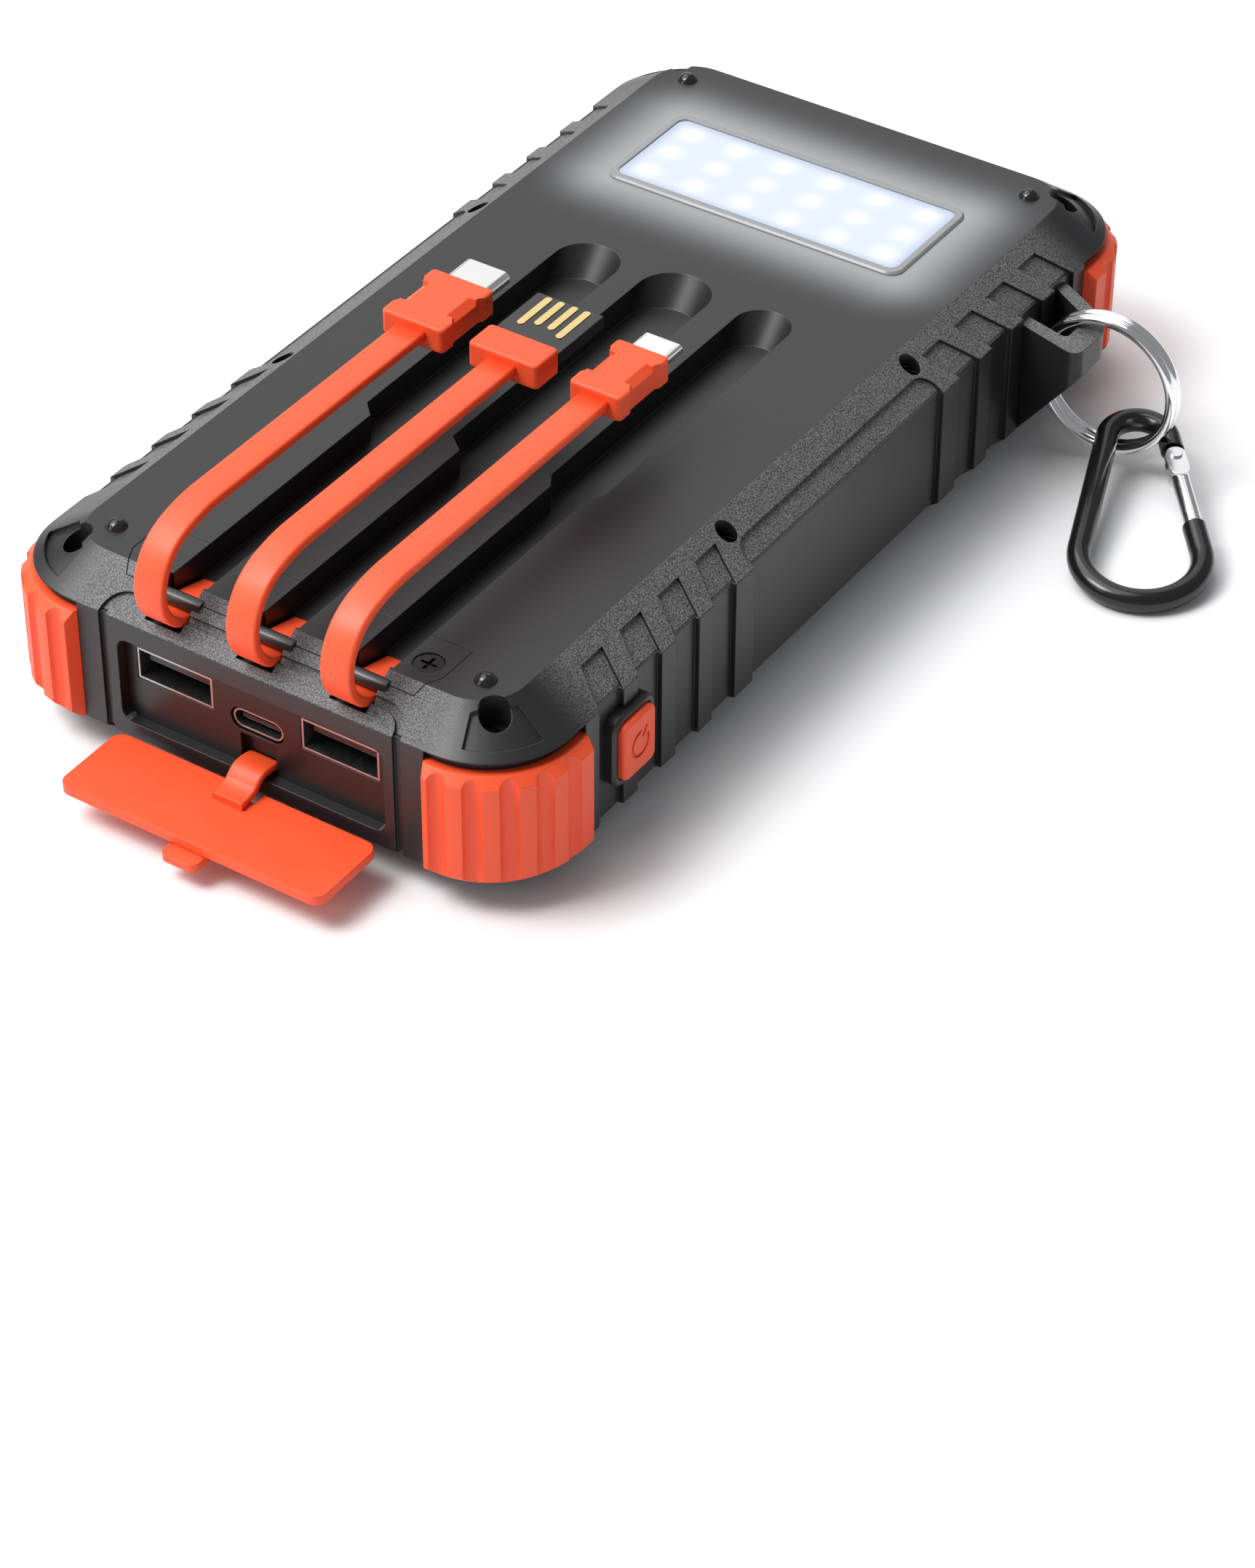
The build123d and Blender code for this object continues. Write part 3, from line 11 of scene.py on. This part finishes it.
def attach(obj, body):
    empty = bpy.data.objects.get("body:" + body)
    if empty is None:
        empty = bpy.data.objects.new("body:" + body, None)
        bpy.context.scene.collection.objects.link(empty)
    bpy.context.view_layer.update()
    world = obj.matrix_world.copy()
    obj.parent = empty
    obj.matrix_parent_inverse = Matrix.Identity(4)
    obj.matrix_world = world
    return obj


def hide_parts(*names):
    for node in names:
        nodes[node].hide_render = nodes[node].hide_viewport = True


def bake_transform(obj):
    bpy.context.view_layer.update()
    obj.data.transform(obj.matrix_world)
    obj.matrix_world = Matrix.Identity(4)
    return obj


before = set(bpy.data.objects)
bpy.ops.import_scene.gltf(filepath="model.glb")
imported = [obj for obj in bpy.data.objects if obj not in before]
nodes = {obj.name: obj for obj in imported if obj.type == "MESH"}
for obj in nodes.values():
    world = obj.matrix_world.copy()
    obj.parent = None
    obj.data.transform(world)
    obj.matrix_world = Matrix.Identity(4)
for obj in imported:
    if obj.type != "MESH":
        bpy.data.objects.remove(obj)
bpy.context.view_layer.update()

MM = 0.001
scene = bpy.context.scene
scene.view_settings.view_transform = "Standard"

# ---- dimensions repeated from the part, millimetres ---------------------------------------------
CHANNEL_X = (-15.7, 0.8, 17.3)
LEAD_WIDTH = 5.2
LEAD_THICK = 1.6
LEAD_CORNER = 0.45
LEAD_ROUTE = [
    (-82.15, 27.45),
    (-86.2, 27.45),
    (-90.2, 31.6),
    (-90.2, 37.4),
    (-86.6, 42.2),
    (-79.6, 44.1),
    (-72.35, 44.1),
    (-26.2, 44.1),
]
STRAP_ROUTE = [(-95.2, 7.1), (-92.3, 7.1), (-90.2, 9.3), (-87.9, 9.3), (-86.15, 8.9)]
STRAP_SIZE = (5.5, 1.2)
STRAP_CORNER = 0.4
LIGHT_HALF = (26.4, 10.1)
LIGHT_MIDDLE_Y = 55.0
LED_FIRST = (-22.3, 48.65)
LED_PITCH = (8.92, 6.45)
TORCH_X = 12.8
TORCH_Z = 15.05

# ---- patterns and fades of the looks, millimetres unless said otherwise -------------------------
CELL_LINE_PITCH = 2.05
SOLAR_COLUMNS = ((-15.9, 15.2), (16.65, 14.95))       # middle and half width of each
SOLAR_FIRST_LINE = -68
SOLAR_MIDDLE_Y = 1.0
SOLAR_HALF_LENGTH = 69.4
TORCH_RING_PITCH = 1.3
CORNER_FADE_X = (27, 36)                              # the grain ends towards each corner
CORNER_FADE_Y = (64, 75)
# the next three set the painted glow round the camping light's window on the back cover
HALO_REACH = 17.0
HALO_STRENGTH = 0.42                                  # emission strength at the lens, no unit
HALO_FADE = 1.9                                       # exponent of the fade, no unit
SPOT_RADIUS = 3.6


# ---- materials ---------------------------------------------------------------------------------
class Look:
    """A Principled material under construction, with short calls for the nodes that it uses."""

    def __init__(self, name, colour, roughness, **sockets):
        self.material = bpy.data.materials.new(name)
        self.material.use_nodes = True
        self.tree = self.material.node_tree
        self.shader = self.tree.nodes["Principled BSDF"]
        self.put("Base Color", (*colour, 1.0))
        self.put("Roughness", roughness)
        for socket, value in sockets.items():
            self.put(socket.replace("_", " "), value)
        self.coordinates = self.node("ShaderNodeTexCoord")
        self.place = self.coordinates.outputs["Object"]
        split = self.node("ShaderNodeSeparateXYZ", {"Vector": self.place})
        self.x, self.y, self.z = split.outputs

    def feed(self, socket, value):
        if isinstance(value, bpy.types.NodeSocket):
            self.tree.links.new(value, socket)
        else:
            socket.default_value = value

    def put(self, socket, value):
        self.feed(self.shader.inputs[socket], value)

    def node(self, kind, inputs=None, **settings):
        made = self.tree.nodes.new(kind)
        for key, value in settings.items():
            setattr(made, key, value)
        for key, value in (inputs or {}).items():
            self.feed(made.inputs[key], value)
        return made

    def math(self, operation, first, second=0.0, third=0.0):
        made = self.node("ShaderNodeMath", {0: first, 1: second, 2: third}, operation=operation)
        return made.outputs[0]

    def ramp(self, value, low, high, start=0.0, end=1.0):
        """start below low, end above high, smooth between."""
        made = self.node(
            "ShaderNodeMapRange",
            {"Value": value, "From Min": low, "From Max": high, "To Min": start, "To Max": end},
            interpolation_type="SMOOTHSTEP",
        )
        return made.outputs[0]

    def noise(self, size_mm, detail=2.0, stretch=(1.0, 1.0, 1.0)):
        """Noise with features of about that size."""
        moved = self.node("ShaderNodeMapping", {"Vector": self.place, "Scale": stretch})
        made = self.node(
            "ShaderNodeTexNoise", {"Vector": moved.outputs[0], "Scale": 1 / (size_mm * MM), "Detail": detail}
        )
        return made.outputs[0]

    def mix(self, factor, first, second):
        """Colour mix; first and second are colours or colour sockets."""
        made = self.node("ShaderNodeMix", data_type="RGBA")
        self.feed(made.inputs[0], factor)
        for socket, value in ((made.inputs[6], first), (made.inputs[7], second)):
            self.feed(socket, value if isinstance(value, bpy.types.NodeSocket) else (*value, 1.0))
        return made.outputs[2]

    def blend(self, factor, first, second):
        """Number mix."""
        made = self.node("ShaderNodeMix", data_type="FLOAT")
        for socket, value in zip((made.inputs[0], made.inputs[2], made.inputs[3]), (factor, first, second)):
            self.feed(socket, value)
        return made.outputs[0]

    def relief(self, height, depth_mm, edge_mm=0.0):
        """Bump of that depth, with the solid's edges rounded by edge_mm."""
        made = self.node("ShaderNodeBump", {"Height": height, "Distance": depth_mm * MM, "Strength": 1.0})
        if edge_mm:
            rounded = self.node("ShaderNodeBevel", {"Radius": edge_mm * MM}, samples=6)
            self.feed(made.inputs["Normal"], rounded.outputs[0])
        self.put("Normal", made.outputs[0])

    def from_nearest(self, value, first, pitch):
        """Signed distance to the nearest of the places that repeat by pitch, which are in millimetres."""
        shifted = self.math("SUBTRACT", value, (first - pitch / 2) * MM)
        return self.math("SUBTRACT", self.math("FLOORED_MODULO", shifted, pitch * MM), pitch / 2 * MM)

    def from_rectangle(self, half, middle_y):
        """Distance outside a rectangle on the plan, in metres."""
        moved = self.math("SUBTRACT", self.y, middle_y * MM)
        over = [
            self.math("MAXIMUM", self.math("SUBTRACT", self.math("ABSOLUTE", value), size * MM), 0.0)
            for value, size in ((self.x, half[0]), (moved, half[1]))
        ]
        squares = [self.math("MULTIPLY", value, value) for value in over]
        return self.math("SQRT", self.math("ADD", *squares))


def shell_look(name, painted_halo=False, grained_top=False):
    """Satin black shell with a light grain on its chamfers, and on its top if asked.

    The corners stay smooth. If asked, the up-facing faces round the camping light's window get a painted
    glow, an emission that fades with distance from the window.
    """
    look = Look(name, (0.02, 0.02, 0.021), 0.4)
    normal = look.node("ShaderNodeSeparateXYZ", {"Vector": look.coordinates.outputs["Normal"]})
    slope = look.math("ABSOLUTE", normal.outputs[2])
    flat_part = 1.0 if grained_top else look.ramp(slope, 0.92, 0.96, 1.0, 0.0)
    chamfer = look.math("MULTIPLY", look.ramp(slope, 0.68, 0.76), flat_part)
    near_y = look.ramp(look.math("ABSOLUTE", look.y), *(edge * MM for edge in CORNER_FADE_Y))
    near_x = look.ramp(look.math("ABSOLUTE", look.x), *(edge * MM for edge in CORNER_FADE_X))
    corner = look.math("MULTIPLY", near_x, near_y)
    grained = look.math("MULTIPLY", chamfer, look.math("SUBTRACT", 1.0, corner))
    speckle = look.noise(0.22, 3.0)
    cloud = look.noise(9.0)
    smooth_colour = look.mix(cloud, (0.011, 0.011, 0.012), (0.015, 0.015, 0.016))
    grain_colour = look.mix(look.ramp(speckle, 0.4, 0.62), (0.035, 0.035, 0.036), (0.17, 0.17, 0.173))
    look.put("Base Color", look.mix(grained, smooth_colour, grain_colour))
    rough = look.blend(grained, look.blend(cloud, 0.34, 0.42), 0.5)
    look.put("Roughness", rough)
    height = look.math("MULTIPLY", speckle, look.ramp(grained, 0.0, 1.0, 0.06, 1.0))
    look.relief(height, 0.09, 0.22)
    # painted light: the camping light's glow painted on the cover round its window as emission that fades
    # with distance, on up-facing faces only
    if painted_halo:
        away = look.from_rectangle(LIGHT_HALF, LIGHT_MIDDLE_Y)
        glow = look.math("POWER", look.ramp(away, 0.0, HALO_REACH * MM, 1.0, 0.0), HALO_FADE)
        facing = look.ramp(normal.outputs[2], 0.9, 0.99)
        look.put("Emission Color", (0.93, 0.96, 1.0, 1.0))
        strength = look.math("MULTIPLY", look.math("MULTIPLY", glow, facing), HALO_STRENGTH)
        look.put("Emission Strength", strength)
    return look.material


def plastic_look(name, colour, roughness, variation=0.12, depth_mm=0.012, edge_mm=0.2):
    """Moulded plastic or rubber: a fine skin, slight cloudiness and softly rounded edges."""
    look = Look(name, colour, roughness)
    cloud = look.noise(7.0, 3.0)
    darker = tuple(channel * (1 - variation) for channel in colour)
    look.put("Base Color", look.mix(cloud, darker, colour))
    look.put("Roughness", look.ramp(cloud, 0.2, 0.8, roughness - 0.05, roughness + 0.05))
    look.relief(look.noise(0.3), depth_mm, edge_mm)
    return look.material


def metal_look(name, colour, roughness, brushed=(1.0, 1.0, 1.0), depth_mm=0.0008, edge_mm=0.12):
    """Metal with fine lines along the axis that brushed squeezes."""
    look = Look(name, colour, roughness, Metallic=1.0)
    lines = look.noise(0.35, 3.0, brushed)
    look.put("Roughness", look.ramp(lines, 0.25, 0.75, roughness - 0.04, roughness + 0.05))
    darker = tuple(channel * 0.93 for channel in colour)
    look.put("Base Color", look.mix(lines, darker, colour))
    look.relief(lines, depth_mm, edge_mm)
    return look.material


def lens_look():
    """Frosted camping light lens, lit, with a brighter patch over each LED."""
    look = Look("camping_lens", (0.02, 0.02, 0.02), 0.5, Specular_IOR_Level=0.2)
    offsets = []
    for value, first, pitch in zip((look.x, look.y), LED_FIRST, LED_PITCH):
        offsets.append(look.from_nearest(value, first, pitch))
    squares = [look.math("MULTIPLY", value, value) for value in offsets]
    spot = look.ramp(look.math("SQRT", look.math("ADD", *squares)), 0.0, SPOT_RADIUS * MM, 1.0, 0.0)
    border = 2.2
    inner = tuple(size - border for size in LIGHT_HALF)
    edge = look.ramp(look.from_rectangle(inner, LIGHT_MIDDLE_Y), 0.0, border * MM)
    base = look.mix(edge, (0.79, 0.86, 0.98), (0.60, 0.68, 0.86))
    look.put("Emission Color", look.mix(spot, base, (1.0, 1.0, 1.0)))
    look.put("Emission Strength", 0.98)
    look.relief(look.noise(0.4), 0.01, 0.15)
    return look.material


def solar_look():
    """Blue-black cells behind glossy resin, with fine silver lines in two columns and a painted sheen that
    brightens the blue towards +Y.
    """
    look = Look("solar_sheet", (0.006, 0.012, 0.03), 0.25, Coat_Weight=1.0, Coat_Roughness=0.05)
    offset = look.from_nearest(look.y, SOLAR_FIRST_LINE, CELL_LINE_PITCH)
    line = look.ramp(look.math("ABSOLUTE", offset), 0.16 * MM, 0.24 * MM, 1.0, 0.0)
    columns = []
    for middle, half in SOLAR_COLUMNS:
        away = look.math("ABSOLUTE", look.math("SUBTRACT", look.x, middle * MM))
        columns.append(look.ramp(away, half * MM, (half + 0.1) * MM, 1.0, 0.0))
    in_column = look.math("MAXIMUM", *columns)
    past = look.math("ABSOLUTE", look.math("SUBTRACT", look.y, SOLAR_MIDDLE_Y * MM))
    along = look.ramp(past, SOLAR_HALF_LENGTH * MM, (SOLAR_HALF_LENGTH + 0.2) * MM, 1.0, 0.0)
    silver = look.math("MULTIPLY", look.math("MULTIPLY", line, in_column), along)
    crystal = look.noise(2.5, 4.0)
    # painted sheen: the cells' blue brightens from y -60 mm to y 70 mm
    depth = look.ramp(look.y, -60 * MM, 70 * MM)
    dark_end = look.mix(crystal, (0.008, 0.014, 0.032), (0.012, 0.020, 0.044))
    bright_end = look.mix(crystal, (0.020, 0.048, 0.12), (0.028, 0.062, 0.15))
    look.put("Base Color", look.mix(silver, look.mix(depth, dark_end, bright_end), (0.74, 0.77, 0.82)))
    look.put("Roughness", look.ramp(crystal, 0.3, 0.7, 0.2, 0.3))
    look.relief(look.noise(3.0), 0.01)
    return look.material


def lamp_look(name, colour, strength):
    """Lit indicator or LED with a bright core."""
    look = Look(name, tuple(channel * 0.3 for channel in colour), 0.25)
    look.put("Emission Color", look.mix(look.noise(0.6), colour, tuple(min(1.0, c + 0.25) for c in colour)))
    look.put("Emission Strength", strength)
    look.relief(look.noise(0.5), 0.01, 0.1)
    return look.material


def torch_glass_look():
    """Clear torch lens pressed with concentric rings."""
    look = Look("torch_glass", (0.97, 0.98, 1.0), 0.03, Transmission_Weight=1.0, IOR=1.48)
    side = look.math("SUBTRACT", look.math("ABSOLUTE", look.x), TORCH_X * MM)
    up = look.math("SUBTRACT", look.z, TORCH_Z * MM)
    squares = [look.math("MULTIPLY", value, value) for value in (side, up)]
    radius = look.math("SQRT", look.math("ADD", *squares))
    rings = look.math("SINE", look.math("MULTIPLY", radius, math.tau / (TORCH_RING_PITCH * MM)))
    look.relief(rings, 0.05, 0.2)
    return look.material


def reflector_look():
    """Mirrored torch cup with shallow facets."""
    look = Look("torch_mirror", (0.92, 0.93, 0.95), 0.1, Metallic=1.0)
    cells = look.node("ShaderNodeTexVoronoi", {"Vector": look.place, "Scale": 1 / (2.2 * MM)})
    look.relief(cells.outputs[0], 0.12)
    look.put("Roughness", look.ramp(look.noise(0.5), 0.3, 0.7, 0.06, 0.16))
    return look.material


def board_look():
    """Green circuit board with a faint glass weave."""
    look = Look("circuit_board", (0.01, 0.09, 0.04), 0.42)
    weave = look.node(
        "ShaderNodeTexWave", {"Vector": look.place, "Scale": 1 / (0.8 * MM), "Distortion": 0.5}
    )
    look.put("Base Color", look.mix(weave.outputs[1], (0.008, 0.075, 0.032), (0.014, 0.11, 0.05)))
    look.put("Roughness", look.ramp(look.noise(0.6), 0.2, 0.8, 0.36, 0.5))
    look.relief(weave.outputs[1], 0.01)
    return look.material


ORANGE = (0.93, 0.088, 0.02)
looks = {
    "shell": shell_look("black_shell"),
    "painted_glow_shell": shell_look("black_shell_painted_glow", painted_halo=True),
    "loop_shell": shell_look("black_loop", grained_top=True),
    "orange": plastic_look("orange_rubber", ORANGE, 0.5, edge_mm=0.3, variation=0.08),
    "lead": plastic_look("orange_lead", ORANGE, 0.46, edge_mm=0.0, variation=0.05, depth_mm=0.006),
    "black": plastic_look("black_gloss", (0.012, 0.012, 0.013), 0.3, depth_mm=0.004),
    "panel": plastic_look("port_black", (0.010, 0.010, 0.010), 0.34, edge_mm=0.15, depth_mm=0.006),
    "satin": plastic_look("black_satin", (0.02, 0.02, 0.021), 0.42),
    "stud": plastic_look("black_stud", (0.012, 0.012, 0.012), 0.14, edge_mm=0.0, depth_mm=0.002),
    "gasket": plastic_look("gasket_rubber", (0.02, 0.02, 0.02), 0.7),
    "black_steel": metal_look("black_screw", (0.05, 0.05, 0.052), 0.36),
    "steel": metal_look(
        "steel_shell", (0.42, 0.42, 0.43), 0.34, (1.0, 0.15, 1.0), depth_mm=0.0002, edge_mm=0.04
    ),
    "plug": metal_look("plug_steel", (0.80, 0.79, 0.77), 0.24, (1.0, 0.08, 1.0)),
    "chrome": metal_look("ring_chrome", (0.86, 0.86, 0.87), 0.1),
    "gate": metal_look("gate_steel", (0.78, 0.78, 0.79), 0.2, (0.3, 0.3, 1.0)),
    "gold": metal_look("contact_gold", (0.83, 0.62, 0.27), 0.25, (1.0, 0.1, 1.0), edge_mm=0.05),
    "blade": plastic_look("blade_black", (0.018, 0.018, 0.02), 0.3, depth_mm=0.004),
    "white": plastic_look("white_plastic", (0.82, 0.82, 0.80), 0.4),
    "clear": plastic_look("clear_rim", (0.27, 0.275, 0.28), 0.25, edge_mm=0.25, depth_mm=0.003),
    "anodised": plastic_look("anodised_black", (0.008, 0.008, 0.009), 0.2, depth_mm=0.003, edge_mm=0.1),
    "chip": plastic_look("chip_plastic", (0.02, 0.02, 0.022), 0.5),
    "foil": metal_look("battery_foil", (0.6, 0.61, 0.63), 0.35),
    "foam": plastic_look("foam", (0.16, 0.16, 0.17), 0.9, depth_mm=0.1),
    "led_board": plastic_look("led_board", (0.75, 0.76, 0.76), 0.45),
    "led": lamp_look("lit_led", (1.0, 0.98, 0.9), 3.0),
    "blue": lamp_look("blue_lamp", (0.02, 0.16, 1.0), 1.6),
    "green": lamp_look("green_lamp", (0.16, 0.9, 0.03), 1.4),
    "lens": lens_look(),
    "solar": solar_look(),
    "glass": torch_glass_look(),
    "mirror": reflector_look(),
    "board": board_look(),
}

finishes = {
    "shell": ["front_housing", "cable_cover"],
    "loop_shell": ["lanyard_loop"],
    "painted_glow_shell": ["back_cover"],
    "orange": [
        "bumper_torch_right", "bumper_torch_left", "bumper_port_left", "bumper_port_right", "port_flap",
        "port_flap_strap", "power_button", "usb_c_plug_grip", "usb_a_plug_grip", "slim_plug_grip",
    ],
    "lead": ["usb_c_lead", "usb_a_lead", "slim_lead", "lead_anchors"],
    "black": ["torch_bezel_left", "torch_bezel_right", "lead_bars", "usb_a_tongues", "usb_c_tongue"],
    "panel": ["port_panel"],
    "satin": ["button_frame"],
    "stud": ["corner_studs"],
    "gasket": ["case_gasket"],
    "black_steel": ["case_screws", "cable_cover_screws"],
    "steel": ["usb_a_shell_left", "usb_a_shell_right", "usb_c_shell"],
    "plug": ["usb_c_plug", "slim_plug"],
    "gold": ["usb_a_contacts"],
    "blade": ["usb_a_plug"],
    "white": ["slim_plug_insert"],
    "clear": ["camping_light_rim"],
    "chip": ["controller_chips", "power_inductor", "button_switch"],
    "foil": ["battery_cell_solar_side", "battery_cell_back_side"],
    "foam": ["battery_foam"],
    "led_board": ["camping_light_board"],
    "led": ["camping_light_leds", "torch_leds"],
    "blue": ["charge_light_pipes"],
    "green": ["solar_light_pipe"],
    "lens": ["camping_light_lens"],
    "solar": ["solar_cover", "solar_cell"],
    "glass": ["torch_lenses"],
    "mirror": ["torch_reflectors"],
    "board": ["main_board", "torch_board"],
    "chrome": ["key_ring"],
    "anodised": ["carabiner_hook"],
    "gate": ["carabiner_gate", "gate_rivet"],
}
for finish, names in finishes.items():
    for name in names:
        mesh = nodes[name].data
        mesh.materials.clear()
        mesh.materials.append(looks[finish])


# ---- flat leads and the flap's strap -----------------------------------------------------------
def smooth_line(name, points):
    """Points along a smooth line that has the given points as its control points."""
    curve = bpy.data.curves.new(name, "CURVE")
    curve.dimensions = "3D"
    curve.resolution_u = 16
    spline = curve.splines.new("NURBS")
    spline.points.add(len(points) - 1)
    for control, point in zip(spline.points, points):
        control.co = (*point, 1.0)
    spline.order_u = 3
    spline.use_endpoint_u = True
    carrier = bpy.data.objects.new(name, curve)
    scene.collection.objects.link(carrier)
    bpy.context.view_layer.update()
    line = bpy.data.meshes.new_from_object(carrier)
    path = [vertex.co.copy() for vertex in line.vertices]
    bpy.data.meshes.remove(line)
    bpy.data.objects.remove(carrier)
    return path


def rounded_section(width, thick, corner, steps=4):
    """Corner-rounded rectangle as (across, up) pairs, anticlockwise."""
    section = []
    for turn, (side, up) in enumerate(((1, 1), (-1, 1), (-1, -1), (1, -1))):
        for step in range(steps + 1):
            angle = math.radians(90 * turn + 90 * step / steps)
            across = side * (width / 2 - corner) + corner * math.cos(angle)
            height = up * (thick / 2 - corner) + corner * math.sin(angle)
            section.append((across, height))
    return section


def ribbon(name, path, section):
    """Mesh swept along a path that keeps to one x, with the section's width across x."""
    across = Vector((1, 0, 0))
    points = []
    for index, here in enumerate(path):
        before = path[max(index - 1, 0)]
        after = path[min(index + 1, len(path) - 1)]
        up = across.cross((after - before).normalized())
        points += [here + across * side + up * height for side, height in section]
    count = len(section)
    faces = [list(range(count)), [len(points) - 1 - k for k in range(count)]]
    for ring in range(len(path) - 1):
        for k in range(count):
            first = ring * count + k
            second = ring * count + (k + 1) % count
            faces.append([second, first, first + count, second + count])
    mesh = bpy.data.meshes.new(name)
    mesh.from_pydata(points, [], faces)
    mesh.update()
    for polygon in mesh.polygons:
        polygon.use_smooth = len(polygon.vertices) == 4
    made = bpy.data.objects.new(name, mesh)
    scene.collection.objects.link(made)
    return made


lead_pieces = {
    "usb_c": ["usb_c_plug_grip", "usb_c_plug"],
    "usb_a": ["usb_a_plug_grip", "usb_a_plug", "usb_a_contacts"],
    "slim": ["slim_plug_grip", "slim_plug", "slim_plug_insert"],
}
lead_section = rounded_section(LEAD_WIDTH * MM, LEAD_THICK * MM, LEAD_CORNER * MM)
for centre_x, (word, pieces) in zip(CHANNEL_X, lead_pieces.items()):
    route = [(centre_x * MM, y * MM, z * MM) for y, z in LEAD_ROUTE]
    path = smooth_line(f"{word}_line", route)
    lead = ribbon(f"flat_lead_{word}", path, lead_section)
    lead.data.materials.append(looks["lead"])
    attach(lead, "case")
    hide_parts(f"{word}_lead")

strap_path = smooth_line("strap_line", [(0, y * MM, z * MM) for y, z in STRAP_ROUTE])
strap_section = rounded_section(STRAP_SIZE[0] * MM, STRAP_SIZE[1] * MM, STRAP_CORNER * MM)
strap = ribbon("flap_strap", strap_path, strap_section)
strap.data.materials.append(looks["orange"])
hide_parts("port_flap_strap")
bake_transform(strap)

# ---- floor, light and camera -------------------------------------------------------------------
floor_look = Look("pale_floor", (0.86, 0.86, 0.87), 0.85)
floor_look.put("Base Color", floor_look.mix(floor_look.noise(60.0), (0.85, 0.85, 0.86), (0.88, 0.88, 0.885)))
floor_mesh = bpy.data.meshes.new("floor")
FLOOR_REACH = 8.0
floor_corners = [
    (side * FLOOR_REACH, along * FLOOR_REACH, 0) for side, along in ((-1, -1), (1, -1), (1, 1), (-1, 1))
]
floor_mesh.from_pydata(floor_corners, [], [(0, 1, 2, 3)])
floor_mesh.materials.append(floor_look.material)
floor = bpy.data.objects.new("floor", floor_mesh)
scene.collection.objects.link(floor)

world = bpy.data.worlds.new("studio")
scene.world = world
world.use_nodes = True
background = world.node_tree.nodes["Background"]
background.inputs["Color"].default_value = (0.95, 0.97, 1.0, 1.0)
background.inputs["Strength"].default_value = 0.3


def area_light(name, direction, distance, size, power):
    """Square soft light that looks at the middle of the charger from that direction."""
    data = bpy.data.lights.new(name, "AREA")
    data.size = size
    data.energy = power
    lamp = bpy.data.objects.new(name, data)
    away = Vector(direction).normalized()
    lamp.location = Vector((0, 0, 0.02)) + away * distance
    lamp.rotation_euler = away.to_track_quat("Z", "Y").to_euler()
    scene.collection.objects.link(lamp)


area_light("key", (-0.36, -0.42, 0.80), 1.0, 0.4, 5.8)
area_light("back", (-0.43, 0.64, 0.63), 1.3, 1.1, 3.4)
area_light("front", (-0.55, -0.8, 0.35), 1.3, 0.6, 2.2)

sky_data = bpy.data.lights.new("sky", "SUN")
sky_data.energy = 2.2
sky_data.angle = math.radians(60)
sky = bpy.data.objects.new("sky", sky_data)
sky.rotation_euler = Vector((-0.5, -0.15, 0.9)).to_track_quat("Z", "Y").to_euler()
scene.collection.objects.link(sky)

# The camera looks past PIVOT from CAMERA_DISTANCE, moved sideways and down, in millimetres
PIVOT = Vector((0, 0, 4.5))
CAMERA_DISTANCE = 711.68
CAMERA_ASIDE = 0.912
CAMERA_DOWN = 45.556
BACK = Vector((0.4310, -0.6424, 0.6337)).normalized()
RIGHT = Vector((0.8304, 0.5571, 0)).normalized()
UP = BACK.cross(RIGHT)
camera_data = bpy.data.cameras.new("camera")
camera_data.lens = 103.5
camera_data.shift_x = 0.0163
camera_data.sensor_width = 36.0
camera_data.clip_start = 0.01
camera_data.clip_end = 40.0
camera = bpy.data.objects.new("camera", camera_data)
camera_place = (PIVOT + BACK * CAMERA_DISTANCE + RIGHT * CAMERA_ASIDE - UP * CAMERA_DOWN) * MM
camera.matrix_world = Matrix.Translation(camera_place) @ Matrix((RIGHT, UP, BACK)).transposed().to_4x4()
scene.collection.objects.link(camera)
scene.camera = camera
